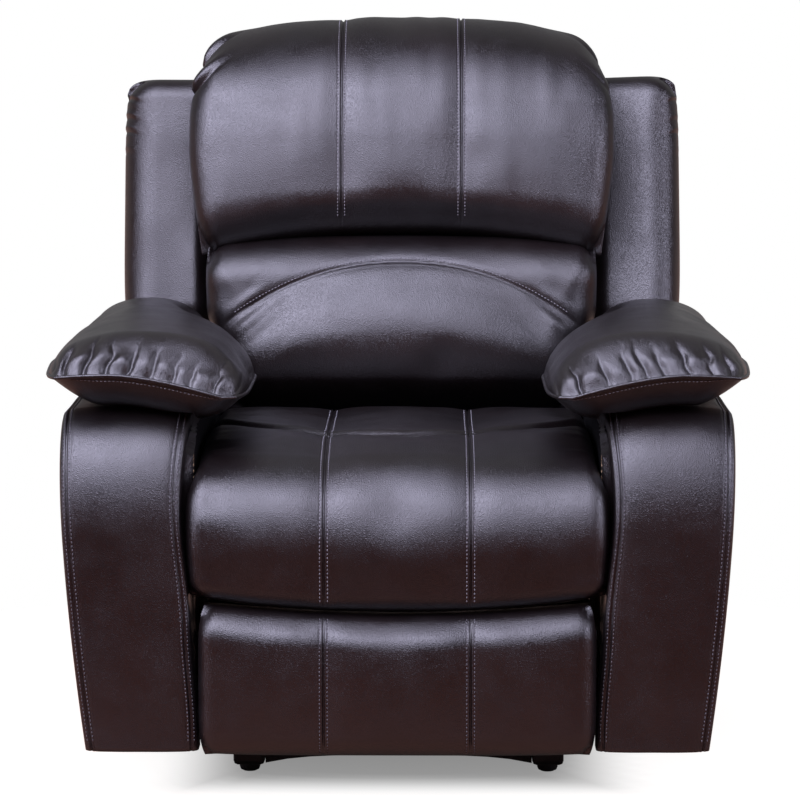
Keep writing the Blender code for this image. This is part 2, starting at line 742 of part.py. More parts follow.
def add_arm_frame(name, side, cover):
    """The wooden panel let into the inner face of the arm, to which the mechanism is bolted."""
    low = Vector((side * ARM_INNER_X, ARM_FRONT_Y + ARM_PANEL_INSET, ARM_BOTTOM_Z + ARM_EDGE_RADIUS))
    high_x = side * (ARM_INNER_X + ARM_PANEL_THICKNESS)
    high = Vector((high_x, ARM_REAR_Y - ARM_CORNER_RADIUS, ARM_TOP_Z - ARM_PANEL_INSET))
    play = Vector((side * CLEARANCE, CLEARANCE, CLEARANCE))
    reach = Vector((side * ARM_EDGE_RADIUS, 0, 0))
    pocket = add_helper(f"arm_pocket_{name}", box_mesh("arm_pocket", low - reach - play, high + play))
    cut(cover, pocket)
    return add_box(f"arm_frame_{name}", low, high, TIMBER, edge=0.002)


def add_arm_pillow(name, side):
    """The pillow on top of the arm: domed above its piping, flatter below, and hanging over both sides."""
    half = PILLOW_WIDTH / 2
    middle = ARM_INNER_X + ARM_WIDTH_TOP + PILLOW_OVERHANG - half
    length = (PILLOW_REAR_Y - PILLOW_FRONT_Y) / 2
    seam_z = ARM_TOP_Z + CLEARANCE + PILLOW_BOTTOM_HEIGHT
    lumbar_y = RECLINE_Y + PAD_REST - LUMBAR_DEPTH - LUMBAR_CROWN
    neck = middle - ARM_INNER_X - PADDING_GAP

    def shape(a, b, c):
        p = superellipse(a, b, c, 4.4)
        y = PILLOW_FRONT_Y + length + length * p.y
        taper = min(1.0, max(0.0, (y - lumbar_y) / PILLOW_TAPER_LENGTH + 1))
        seat_half = half + (neck - half) * taper * taper * (3 - 2 * taper)
        x = middle + p.x * (half if p.x > 0 else seat_half)
        z = seam_z + p.z * (PILLOW_TOP_HEIGHT if p.z > 0 else PILLOW_BOTTOM_HEIGHT)
        return side * x, y, z

    return soft_block(f"arm_pillow_{name}", (even(4), even(6), even(3)), shape)


# Seat


def make_seat(axis):
    outer = PLATE_INNER_X - CLEARANCE - 0.006
    inner = outer - SEAT_RAIL_WIDTH
    rails = []
    for name, side in SIDES.items():
        low = (side * inner, SEAT_FRAME_FRONT_Y, SEAT_RAIL_BOTTOM_Z)
        high = (side * outer, SEAT_FRAME_REAR_Y, SEAT_RAIL_TOP_Z)
        rails.append(add_box(f"seat_side_rail_{name}", low, high, TIMBER, edge=0.002))
    half = inner - CLEARANCE
    ends = {"front": SEAT_FRAME_FRONT_Y, "rear": SEAT_FRAME_REAR_Y - SEAT_RAIL_WIDTH}
    for name, y in ends.items():
        low = (-half, y, SEAT_RAIL_BOTTOM_Z)
        high = (half, y + SEAT_RAIL_WIDTH, SEAT_RAIL_TOP_Z)
        rails.append(add_box(f"seat_{name}_rail", low, high, TIMBER, edge=0.002))
    springs = [add_seat_spring(number, half) for number in range(SEAT_SPRING_COUNT)]
    carry(axis, *rails, *springs, add_seat_cushion())


def add_seat_spring(number, half):
    """A sinuous spring laid from the front seat rail to the rear one."""
    middle = -half + 2 * half * (number + 0.5) / SEAT_SPRING_COUNT
    start = SEAT_FRAME_FRONT_Y + SEAT_RAIL_WIDTH / 2
    end = SEAT_FRAME_REAR_Y - SEAT_RAIL_WIDTH / 2
    steps = 4 * SEAT_SPRING_WAVES
    points = []
    for step in range(steps + 1):
        wave = math.sin(math.pi / 2 * step + math.pi / 4)
        y = start + (end - start) * step / steps
        points.append(Vector((middle + SEAT_SPRING_SWING * wave * math.sqrt(2), y, SEAT_SPRING_Z)))
    return wire(f"seat_spring_{number + 1}", points, SEAT_SPRING_WIRE)


def add_seat_cushion():
    """A thick pad in three panels that rolls over the front edge and hangs down to the footrest."""
    half = ARM_INNER_X - PADDING_GAP
    middle_z = SEAT_BOTTOM_Z + SEAT_THICKNESS / 2
    lip_y = SEAT_FRONT_Y + SEAT_LIP_THICKNESS / 2
    start = Vector((SEAT_REAR_Y, middle_z))
    turn_at = Vector((lip_y + SEAT_ROLL_RADIUS, middle_z))
    end = Vector((lip_y, SEAT_LIP_Z))

    def shape(a, b, c):
        share = (b + 1) / 2
        place, normal = bent_path(
            start, Vector((-1, 0)), turn_at, SEAT_ROLL_RADIUS, Vector((0, -1)), end, share
        )
        thinning = min(1, max(0, (share - 0.6) / 0.2))
        thickness = SEAT_THICKNESS + (SEAT_LIP_THICKNESS - SEAT_THICKNESS) * thinning
        x = half * a - math.copysign(SIDE_PULL * swell(b), a) * (abs(a) > 0.9)
        lift = 0.0
        if c > 0:
            lift = SEAT_CROWN * swell(a) - seam_valley(x, PANEL_SEAM_X)
        place = place + normal * (c * thickness / 2 + lift)
        sag = LIP_SAG * swell(a) * max(0.0, (b - 0.5) / 0.5)
        return x, place.x, place.y - sag

    along = [-1.0, -0.55, -0.08, 0.30, 0.48, 0.64, 0.80, 1.0]
    return soft_block("seat_cushion", (seamed(half, PANEL_SEAM_X), along, [-1, 0, 1]), shape)


# Back, modelled upright about its own axis and tilted by the empty that carries it


def make_back(axis):
    bracket_inner, bracket_outer = layer(1)
    outer = bracket_inner - CLEARANCE
    inner = outer - STILE_WIDTH
    pieces = []
    for name, side in SIDES.items():
        low = (side * inner, STILE_FRONT, -STILE_BELOW)
        high = (side * outer, STILE_REAR, BACK_FRAME_TOP)
        pieces.append(add_box(f"back_stile_{name}", low, high, TIMBER, edge=0.002))
        pieces.append(add_back_bracket(name, side, bracket_inner, bracket_outer))
        pieces.append(add_wing(name, side, outer))
    half = inner - CLEARANCE
    for name, bottom in (("top", BACK_FRAME_TOP - BACK_RAIL_HEIGHT), ("bottom", 0.0)):
        low = (-half, STILE_FRONT, bottom)
        high = (half, STILE_REAR, bottom + BACK_RAIL_HEIGHT)
        pieces.append(add_box(f"back_{name}_rail", low, high, TIMBER, edge=0.002))
    for number, height in enumerate(WEBBING_HEIGHTS, start=1):
        low = (-outer, STILE_FRONT - CLEARANCE - WEBBING_THICKNESS, height - WEBBING_WIDTH / 2)
        high = (outer, STILE_FRONT - CLEARANCE, height + WEBBING_WIDTH / 2)
        pieces.append(add_box(f"back_webbing_{number}", low, high, WEBBING))
    pieces += [add_lumbar_cushion(), add_head_pillow(), add_back_panel(outer)]
    for piece in pieces:
        piece.parent = axis


def add_back_bracket(name, side, inner, outer):
    """The steel arm that carries the back on the mechanism plate's rivet."""
    eye = 0.75 * LINK_WIDTH
    corners = [
        (-eye, -eye),
        (STILE_REAR, -eye),
        (STILE_REAR, BRACKET_HEIGHT),
        (STILE_FRONT, BRACKET_HEIGHT),
        (STILE_FRONT, 2.2 * eye),
        (-eye, eye),
    ]
    outlines = [rounded(corners, 0.012), pivot_hole((0, 0))]
    return add_plate(f"back_bracket_{name}", outlines, side, inner, outer)


def add_lumbar_cushion():
    half = ARM_INNER_X - PADDING_GAP
    middle = (LUMBAR_BOTTOM + LUMBAR_TOP) / 2
    reach = (LUMBAR_TOP - LUMBAR_BOTTOM) / 2
    depth = LUMBAR_DEPTH / 2

    def shape(a, b, c):
        p = superellipse(a, b, c, 8.0)
        x = p.x * (half - SIDE_PULL * swell(c))
        y = PAD_REST - depth + p.y * depth
        if b < 0:
            y -= LUMBAR_CROWN * swell(a) * swell(0.8 * c)
        return x, y, middle + p.z * reach

    return soft_block("lumbar_cushion", (even(6), even(2), even(5)), shape)


def add_head_pillow():
    """The head pillow: three panels that bulge over the lumbar cushion and roll over the top of the frame."""
    top = HEAD_TOP_THICKNESS / 2
    middle_y = PAD_REST - HEAD_DEPTH / 2
    level = BACK_FRAME_TOP + 2 * PADDING_GAP + top
    start = Vector((middle_y, HEAD_BOTTOM))
    turn_at = Vector((middle_y, level - HEAD_ROLL_RADIUS))
    end = Vector((STILE_REAR + BACK_PANEL_THICKNESS, level))

    def shape(a, b, c):
        share = (b + 1) / 2
        place, normal = bent_path(
            start, Vector((0, 1)), turn_at, HEAD_ROLL_RADIUS, Vector((1, 0)), end, share
        )
        thinning = min(1, max(0, (share - 0.4) / 0.3))
        thickness = HEAD_DEPTH + (HEAD_TOP_THICKNESS - HEAD_DEPTH) * thinning
        front_share = (1 + c) / 2 * (1 - max(0.0, share - 0.45) / 0.55)
        half = HEAD_NECK_HALF_WIDTH + (HEAD_HALF_WIDTH - HEAD_NECK_HALF_WIDTH) * front_share
        x = half * a - math.copysign(SIDE_PULL * swell(b), a) * (abs(a) > 0.9)
        lift = 0.0
        if c > 0:
            lift = HEAD_CROWN * swell(a) * swell(0.7 * b) - seam_valley(x, HEAD_SEAM_X)
        edge = 1 - 0.35 * max(0.0, abs(a) - 0.8) / 0.2
        place = place + normal * (c * thickness / 2 * (edge if c > 0 else 1) + lift)
        return x, place.x, place.y

    along = [-1.0, -0.6, -0.15, 0.15, 0.45, 1.0]
    return soft_block("head_pillow", (seamed(HEAD_HALF_WIDTH, HEAD_SEAM_X), along, [-1, 0, 1]), shape)


def add_wing(name, side, stile_outer):
    """The side bolster beside the head pillow, which swells forward away from the stile."""
    inner = stile_outer + CLEARANCE
    half = (WING_HALF_WIDTH - inner) / 2
    middle = (WING_HALF_WIDTH + inner) / 2
    level = (WING_TOP + WING_BOTTOM) / 2
    reach = (WING_TOP - WING_BOTTOM) / 2
    rear = STILE_REAR

    def shape(a, b, c):
        p = superellipse(a, b, c, 6.0)
        share = min(1.0, max(0.0, (p.x + 1) / 1.1))
        swollen = share * share * (3 - 2 * share)
        front = (rear - WING_INNER_DEPTH) + (WING_FRONT - rear + WING_INNER_DEPTH) * swollen
        y = rear + (front - rear) * (1 - p.y) / 2
        return side * (middle + half * p.x), y, level + reach * p.z

    return soft_block(f"back_wing_{name}", (even(3), even(2), even(4)), shape)


def add_back_panel(stile_outer):
    """The upholstered outside back: narrow between the arms, wide behind the wings."""
    wide = WING_HALF_WIDTH - PADDING_GAP
    narrow = stile_outer
    top = BACK_FRAME_TOP + CLEARANCE
    step = WING_BOTTOM
    corners = [
        (-narrow, -STILE_BELOW),
        (narrow, -STILE_BELOW),
        (narrow, step),
        (wide, step + BACK_PANEL_CORNER),
        (wide, top),
        (-wide, top),
        (-wide, step + BACK_PANEL_CORNER),
        (-narrow, step),
    ]
    mesh = flat_mesh("back_panel", [rounded(corners, BACK_PANEL_CORNER)], BACK_PANEL_THICKNESS, 0)
    rear = STILE_REAR + CLEARANCE + BACK_PANEL_THICKNESS / 2
    mesh.transform(Matrix.Translation((0, rear, 0)) @ Matrix.Rotation(-math.pi / 2, 4, "Z"))
    panel = add_object("back_panel", mesh, LEATHER)
    bevel = panel.modifiers.new("rounded_edges", "BEVEL")
    bevel.width = 0.006
    bevel.segments = 2
    bevel.angle_limit = math.radians(50)
    return panel


# Footrest and its linkage


def make_footrest():
    first_inner, first_outer = layer(1)
    second_inner, second_outer = layer(2)
    third_inner, third_outer = layer(3)
    root = (first_inner + first_outer) / 2
    axes = {
        "front_crank": add_axis("front_crank_axis", *FRONT_PIVOT),
        "rear_crank": add_axis("rear_crank_axis", *REAR_PIVOT),
        "lower_link": add_axis("lower_link_axis", *FRONT_KNEE),
        "upper_link": add_axis("upper_link_axis", *UPPER_KNEE),
        "footrest": add_axis("footrest_axis", *LOWER_TOE),
    }
    for name, side in SIDES.items():
        bar = [bar_outline([FRONT_PIVOT, FRONT_KNEE], LINK_WIDTH), pivot_hole(FRONT_PIVOT)]
        crank = add_plate(f"front_crank_{name}", bar, side, first_inner, first_outer)
        join(crank, add_stud(f"knee_rivet_{name}", side, FRONT_KNEE, rivet_profile(root, [2])))
        join(crank, add_stud(f"upper_knee_rivet_{name}", side, UPPER_KNEE, rivet_profile(root, [2, 3])))
        carry(axes["front_crank"], crank)

        bar = [bar_outline([REAR_PIVOT, REAR_KNEE], LINK_WIDTH), pivot_hole(REAR_PIVOT)]
        crank = add_plate(f"rear_crank_{name}", bar, side, first_inner, first_outer)
        join(crank, add_stud(f"rear_knee_rivet_{name}", side, REAR_KNEE, rivet_profile(root, [2])))
        carry(axes["rear_crank"], crank)

        pivots = [REAR_KNEE, FRONT_KNEE, LOWER_TOE]
        bar = [bar_outline(pivots, LINK_WIDTH), *[pivot_hole(p) for p in pivots]]
        carry(axes["lower_link"], add_plate(f"lower_link_{name}", bar, side, second_inner, second_outer))

        pivots = [UPPER_KNEE, UPPER_TOE]
        bar = [bar_outline(pivots, LINK_WIDTH), *[pivot_hole(p) for p in pivots]]
        carry(axes["upper_link"], add_plate(f"upper_link_{name}", bar, side, third_inner, third_outer))
        carry(axes["footrest"], add_footrest_bracket(name, side, root))
    carry(axes["front_crank"], add_torque_tube(first_inner - CLEARANCE))
    carry(axes["footrest"], add_footrest_board(), add_footrest_pad())


def add_footrest_bracket(name, side, root):
    """The bracket behind the footrest board, with rivets for both links and a flange screwed to the board."""
    inner, outer = layer(1)
    eye = LINK_WIDTH / 2
    flange_front = FOOTREST_BOARD_REAR_Y + CLEARANCE
    top, bottom = UPPER_TOE.y + 1.8 * eye, LOWER_TOE.y - 1.8 * eye
    corners = [
        (flange_front, bottom),
        (flange_front, top),
        (UPPER_TOE.x + eye, UPPER_TOE.y + eye),
        (LOWER_TOE.x + eye, LOWER_TOE.y - eye),
    ]
    bracket = add_plate(f"footrest_bracket_{name}", [rounded(corners, 0.006)], side, inner, outer)
    flange = add_helper(
        f"bracket_flange_{name}",
        box_mesh(
            "bracket_flange",
            (side * (root - BRACKET_FLANGE_WIDTH), flange_front, bottom + 0.010),
            (side * root, flange_front + PLATE_THICKNESS, top - 0.010),
        ),
    )
    join(bracket, flange)
    join(bracket, add_stud(f"toe_rivet_{name}", side, LOWER_TOE, rivet_profile(root, [2])))
    join(bracket, add_stud(f"upper_toe_rivet_{name}", side, UPPER_TOE, rivet_profile(root, [2, 3])))
    return bracket


def add_torque_tube(half_length):
    """The bar that makes the left and right front cranks turn together."""
    bm = bmesh.new()
    radius = TORQUE_TUBE_RADIUS
    bmesh.ops.create_cone(
        bm, cap_ends=True, segments=16, radius1=radius, radius2=radius, depth=2 * half_length
    )
    mesh = bpy.data.meshes.new("torque_tube")
    bm.to_mesh(mesh)
    bm.free()
    mesh.transform(Matrix.Translation((0, *TORQUE_TUBE)) @ Matrix.Rotation(math.pi / 2, 4, "Y"))
    smooth(mesh)
    return add_object("torque_tube", mesh, STEEL)


def add_footrest_board():
    inset = FOOTREST_BOARD_INSET
    half = FOOTREST_HALF_WIDTH - inset
    low = (-half, FOOTREST_PAD_REAR_Y + CLEARANCE, FOOTREST_BOTTOM_Z + inset)
    high = (half, FOOTREST_BOARD_REAR_Y, FOOTREST_TOP_Z - LIP_SAG - inset)
    return add_box("footrest_board", low, high, TIMBER, edge=0.002)


def add_footrest_pad():
    depth = FOOTREST_PAD_THICKNESS / 2
    middle_z = (FOOTREST_BOTTOM_Z + FOOTREST_TOP_Z) / 2
    reach = (FOOTREST_TOP_Z - FOOTREST_BOTTOM_Z) / 2

    def shape(a, b, c):
        x = FOOTREST_HALF_WIDTH * a - math.copysign(SIDE_PULL * swell(c), a) * (abs(a) > 0.9)
        y = FOOTREST_FRONT_Y + depth + b * depth
        if b < 0:
            y += seam_valley(x, PANEL_SEAM_X) - FOOTREST_CROWN * swell(a) * swell(0.8 * c)
        sag = LIP_SAG * swell(a) * (1 + c) / 2
        return x, y, middle_z + c * reach - sag

    stations = (seamed(FOOTREST_HALF_WIDTH, PANEL_SEAM_X), even(1), even(4))
    return soft_block("footrest_pad", stations, shape)


# Release pull


def make_release(axis):
    """A cup let into the outside of the left arm, and the paddle that hangs in its mouth."""
    face = -(ARM_INNER_X + arm_width(CUP_Z)) - BEZEL_THICKNESS / 2
    inner_end = face + CUP_DEPTH
    half, tall = CUP_LENGTH / 2, CUP_HEIGHT / 2
    play = CLEARANCE
    margin = BEZEL_MARGIN
    bezel_low = Vector((face, CUP_Y - half - margin, CUP_Z - tall - margin))
    bezel_high = Vector((face + BEZEL_THICKNESS, CUP_Y + half + margin, CUP_Z + tall + margin))
    cup = add_box("release_cup", bezel_low, bezel_high, PLASTIC)
    shell_low = Vector((face + BEZEL_THICKNESS / 2, CUP_Y - half, CUP_Z - tall))
    shell_high = Vector((inner_end, CUP_Y + half, CUP_Z + tall))
    join(cup, add_helper("cup_shell", box_mesh("cup_shell", shell_low, shell_high)))
    wall = Vector((0, CUP_WALL, CUP_WALL))
    mouth_low = shell_low + wall - Vector((BEZEL_THICKNESS, 0, 0))
    mouth_high = shell_high - wall - Vector((CUP_WALL, 0, 0))
    cut(cup, add_helper("cup_mouth", box_mesh("cup_mouth", mouth_low, mouth_high)))

    cover = bpy.data.objects["arm_cover_left"]
    outside = Vector((0.02, 0, 0))
    spare = Vector((play, play, play))
    cut(cover, add_helper("cup_pocket", box_mesh("cup_pocket", shell_low - spare, shell_high + spare)))
    bezel_pocket = box_mesh("bezel_pocket", bezel_low - outside - spare, bezel_high + spare)
    cut(cover, add_helper("bezel_pocket", bezel_pocket))

    hinge_x = face + PADDLE_SET_BACK
    hinge_z = mouth_high.z - PADDLE_THICKNESS
    pins = add_paddle_pins("paddle_pins", hinge_x, hinge_z, half - CUP_WALL / 3, PADDLE_PIN_RADIUS)
    sockets = add_paddle_pins(
        "pin_sockets", hinge_x, hinge_z, half - CUP_WALL / 3 + play, PADDLE_PIN_RADIUS + PIVOT_PLAY
    )
    cut(cup, sockets)
    paddle_half = half - CUP_WALL - 2 * play
    low = (hinge_x - PADDLE_THICKNESS / 2, CUP_Y - paddle_half, hinge_z - PADDLE_HEIGHT + PADDLE_THICKNESS / 2)
    high = (hinge_x + PADDLE_THICKNESS / 2, CUP_Y + paddle_half, hinge_z + PADDLE_THICKNESS / 2)
    paddle = add_box("release_paddle", low, high, PLASTIC, edge=0.002)
    join(paddle, pins)
    paddle_axis = bpy.data.objects.new("release_paddle_axis", None)
    PARTS.objects.link(paddle_axis)
    paddle_axis.location = (hinge_x, CUP_Y, hinge_z)
    bpy.context.view_layer.update()
    carry(axis, cup)
    carry(paddle_axis, paddle)


def add_paddle_pins(name, x, z, half_length, radius):
    """A rod along Y through both side walls of the cup."""
    bm = bmesh.new()
    bmesh.ops.create_cone(
        bm, cap_ends=True, segments=14, radius1=radius, radius2=radius, depth=2 * half_length
    )
    mesh = bpy.data.meshes.new(name)
    bm.to_mesh(mesh)
    bm.free()
    mesh.transform(Matrix.Translation((x, CUP_Y, z)) @ Matrix.Rotation(math.pi / 2, 4, "X"))
    return add_helper(name, mesh)


def main():
    clear_scene()
    make_base()
    make_rocker_springs()
    rock_axis = add_axis("rock_axis", ROCK_Y, ROCK_Z)
    make_chassis(rock_axis)
    make_arms(rock_axis)
    make_seat(rock_axis)
    make_back(add_axis("recline_axis", RECLINE_Y, RECLINE_Z, BACK_TILT_DEG))
    make_footrest()
    make_release(rock_axis)


main()
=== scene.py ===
"""Looks of the rocker recliner: padded leather forms, seams with stitches, finishes, studio light and camera.

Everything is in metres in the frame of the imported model: +Z up, the sitter faces -Y.
Padded forms are built on a grid (a, b, c) that runs from -1 to 1 across, along and through each form.
"""

import json
import math

import bpy
import bmesh
import numpy as np
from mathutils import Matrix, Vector


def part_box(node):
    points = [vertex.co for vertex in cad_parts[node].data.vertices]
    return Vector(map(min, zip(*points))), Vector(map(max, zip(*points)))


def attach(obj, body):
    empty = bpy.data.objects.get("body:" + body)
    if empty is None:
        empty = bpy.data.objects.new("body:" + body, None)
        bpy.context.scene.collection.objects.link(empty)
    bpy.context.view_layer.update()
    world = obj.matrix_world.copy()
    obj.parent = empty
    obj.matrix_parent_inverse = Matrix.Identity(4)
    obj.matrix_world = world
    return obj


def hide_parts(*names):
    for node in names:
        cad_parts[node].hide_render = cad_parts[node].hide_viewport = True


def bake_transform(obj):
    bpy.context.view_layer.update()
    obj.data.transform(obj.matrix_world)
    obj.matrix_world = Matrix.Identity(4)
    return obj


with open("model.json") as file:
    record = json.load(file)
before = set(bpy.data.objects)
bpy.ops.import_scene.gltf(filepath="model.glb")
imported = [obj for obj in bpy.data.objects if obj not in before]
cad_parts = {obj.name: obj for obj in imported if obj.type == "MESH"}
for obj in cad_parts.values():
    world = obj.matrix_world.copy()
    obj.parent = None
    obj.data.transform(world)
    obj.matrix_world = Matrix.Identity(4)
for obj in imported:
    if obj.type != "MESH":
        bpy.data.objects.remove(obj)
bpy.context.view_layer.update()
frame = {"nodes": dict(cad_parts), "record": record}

# Camera, from the photograph's perspective
CAMERA_DISTANCE = 5.5
CAMERA_HEIGHT = 1.10
CAMERA_AZIMUTH_DEG = 0.5
CAMERA_AIM = (0, 0, 0.500)
FOCAL_PIXELS = 3821
IMAGE_PIXELS = 800

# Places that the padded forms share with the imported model
ARM_INNER = 0.2748
RECLINE_Y, RECLINE_Z = 0.215, 0.330
BACK_TILT = math.radians(13.0)
TILT_COS, TILT_SIN = math.cos(BACK_TILT), math.sin(BACK_TILT)
PAD_REST = 0.0419
STILE_REAR = 0.085
PANEL_SEAM = 0.0985
HEAD_SEAM = 0.090
SIDES = ("left", -1), ("right", 1)
RELEASE_SIDE = "left"
RELEASE_Y, RELEASE_Z = -0.130, 0.370
RELEASE_CUP = (0.124, 0.082)
RELEASE_FACE = 0.4400

# Stitches, piping and welt
STITCH_ROW = 0.0052
ARM_STITCH_ROW = 0.0038
STITCH_LENGTH, STITCH_GAP, STITCH_RADIUS = 0.0031, 0.0023, 0.00078
STITCH_LIFT = 0.0003
PIPING_RADIUS = 0.0026
WELT_PLACE = 0.0015
WELT_RADIUS = 0.0016

# Cloth
CLOTH_FRAMES = 20
CLOTH_STIFFNESS = 40.0
CLOTH_BENDING = 12.0
CLOTH_DAMPING = 8.0
CLOTH_PRESSURE = 4.0
CLOTH_REACH = 0.024
CLOTH_CALM = 4
CLOTH_STEP = 0.0095

# Grids
LATTICE = 61
AT_EDGE = 0.9999
TWO_FACES = np.array([-1.0, 1.0])
LAYERS = np.linspace(-1, 1, 9)


# Numbers


def ease(t):
    """Rises smoothly from 0 to 1 as t goes from 0 to 1."""
    t = np.clip(t, 0.0, 1.0)
    return t * t * (3 - 2 * t)


def bell(t):
    return np.exp(-np.square(t))


def noise(u, v, seed):
    """A smooth random field from -1 to 1 with one cell for each unit of u and v."""
    lattice = np.random.RandomState(seed).uniform(-1, 1, (LATTICE, LATTICE))
    iu, iv = np.floor(u).astype(int), np.floor(v).astype(int)
    fu, fv = ease(u - iu), ease(v - iv)
    left, right = iu % LATTICE, (iu + 1) % LATTICE
    low, high = iv % LATTICE, (iv + 1) % LATTICE
    near = lattice[left, low] * (1 - fu) + lattice[right, low] * fu
    far = lattice[left, high] * (1 - fu) + lattice[right, high] * fu
    return near * (1 - fv) + far * fv


def places(length, step, *fine):
    """Places from -1 to 1 along a length in metres, closer where fine gives (place, reach, step)."""
    found = [0.0]
    while found[-1] < length:
        here = found[-1]
        pace = step
        for place, reach, small in fine:
            gap = max(0.0, abs(here - place) - reach)
            pace = min(pace, small + 0.5 * gap)
        found.append(here + pace)
    found = np.array(found)
    return found / found[-1] * 2 - 1


def edge_drop(*edges):
    """How far a padded face falls away at its edges, each given as (distance to the edge, radius)."""
    shares = [np.clip(1 - distance / radius, 0, 1) for distance, radius in edges]
    total = sum(np.square(share) for share in shares)
    radius = sum(np.square(share) * r for share, (_, r) in zip(shares, edges)) / (total + 1e-9)
    return radius * (1 - np.sqrt(1 - np.minimum(1, total)))


def rounding(distance, reach, power):
    """Rises from 0 at an edge to 1 at a reach from it, fuller with a higher power."""
    return 1 - np.clip(1 - distance / reach, 0, 1) ** power


def rounded_plan(a, b, pull):
    """Pulls the corners of a square grid in by a share, smoothly, and leaves its edges' middles."""
    scale = 1 - pull * np.abs(a * b) ** 5
    return a * scale, b * scale


def between(place, first, last):
    """Goes from the first value to the last as a place goes from -1 to 1."""
    return first + (last - first) * (place + 1) / 2


def seam_dip(distance, valley=0.0030, width=0.020):
    """A sewn seam: a soft valley, the sharp join in it, ridges beside it and dents under the stitches."""
    away = np.abs(distance)
    join = 0.0032 * bell(distance / 0.0016)
    ridges = 0.0007 * bell((away - 0.0025) / 0.0012)
    rows = 0.0006 * bell((away - STITCH_ROW) / 0.0012)
    return valley * bell(distance / width) + join - ridges + rows


# Meshes


def unit(vectors):
    return vectors / (np.linalg.norm(vectors, axis=1)[:, None] + 1e-12)


def block_grid(a_places, b_places, c_places):
    """Points and quads on the surface of a block cut at these places. Returns a, b, c and the quads."""
    counts = (len(a_places), len(b_places), len(c_places))

    def code(i, j, k):
        return (i * counts[1] + j) * counts[2] + k

    quads = []
    for axis in range(3):
        first, second = [n for n in range(3) if n != axis]
        u, v = np.meshgrid(np.arange(counts[first] - 1), np.arange(counts[second] - 1), indexing="ij")
        for end in (0, counts[axis] - 1):
            corners = []
            for du, dv in ((0, 0), (1, 0), (1, 1), (0, 1)):
                index = [None, None, None]
                index[axis] = np.full_like(u, end)
                index[first], index[second] = u + du, v + dv
                corners.append(code(*index).ravel())
            face = np.stack(corners, axis=1)
            flip = (end == 0) != (axis == 1)
            quads.append(face[:, ::-1] if flip else face)
    quads = np.concatenate(quads)
    used, compact = np.unique(quads, return_inverse=True)
    k = used % counts[2]
    j = used // counts[2] % counts[1]
    i = used // (counts[1] * counts[2])
    return a_places[i], b_places[j], c_places[k], compact.reshape(-1, 4)


def add_object(name, data):
    obj = bpy.data.objects.new(name, data)
    bpy.context.scene.collection.objects.link(obj)
    return obj


def mesh_object(name, points, faces, material, flat=False):
    mesh = bpy.data.meshes.new(name)
    mesh.from_pydata(points.tolist(), [], [list(map(int, face)) for face in faces])
    bm = bmesh.new()
    bm.from_mesh(mesh)
    bmesh.ops.remove_doubles(bm, verts=bm.verts, dist=1e-6)
    if bm.calc_volume(signed=True) < 0:
        bmesh.ops.reverse_faces(bm, faces=bm.faces)
    bm.to_mesh(mesh)
    bm.free()
    if not flat:
        mesh.shade_smooth()
    mesh.materials.append(material)
    return add_object(name, mesh)


def add_piece(name, points, faces, material, body):
    """A piece that rides on one body, with the material it is given."""
    obj = mesh_object(name, points, faces, material)
    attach(obj, body)
    return obj


def padded_piece(name, grid, shape, body, node):
    """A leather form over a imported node."""
    a, b, c, quads = block_grid(*grid)
    obj = add_piece(name, shape(a, b, c), quads, LEATHER, body)
    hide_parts(node)
    return obj


def surface_line(shape, a, b, lift):
    """Points and outward normals along a line of places on a form's outer face."""
    one = np.ones_like(a)
    step = 0.002
    here = shape(a, b, one)
    across = shape(np.clip(a + step, -1, 1), b, one) - shape(np.clip(a - step, -1, 1), b, one)
    along = shape(a, np.clip(b + step, -1, 1), one) - shape(a, np.clip(b - step, -1, 1), one)
    normal = unit(np.cross(across, along))
    outward = np.sum(normal * (here - shape(a, b, -one)), axis=1)
    normal = np.where(outward[:, None] < 0, -normal, normal)
    return here + normal * lift, normal


def spline_weights(knots, at):
    """Weights on the values at knots that give the natural cubic spline through them at each place."""
    count = len(knots)
    gap = np.diff(knots)
    left, right = np.eye(count), np.zeros((count, count))
    for i in range(1, count - 1):
        left[i, i - 1:i + 2] = gap[i - 1], 2 * (gap[i - 1] + gap[i]), gap[i]
        right[i, i - 1:i + 2] = 6 / gap[i - 1], -6 / gap[i - 1] - 6 / gap[i], 6 / gap[i]
    bend = np.linalg.solve(left, right)
    index = np.clip(np.searchsorted(knots, at) - 1, 0, count - 2)
    row = np.arange(len(at))
    u = (at - knots[index]) / gap[index]
    weights = np.zeros((len(at), count))
    weights[row, index] += 1 - u
    weights[row, index + 1] += u
    low = ((1 - u) ** 3 - (1 - u)) * gap[index] ** 2 / 6
    high = (u ** 3 - u) * gap[index] ** 2 / 6
    return weights + low[:, None] * bend[index] + high[:, None] * bend[index + 1]


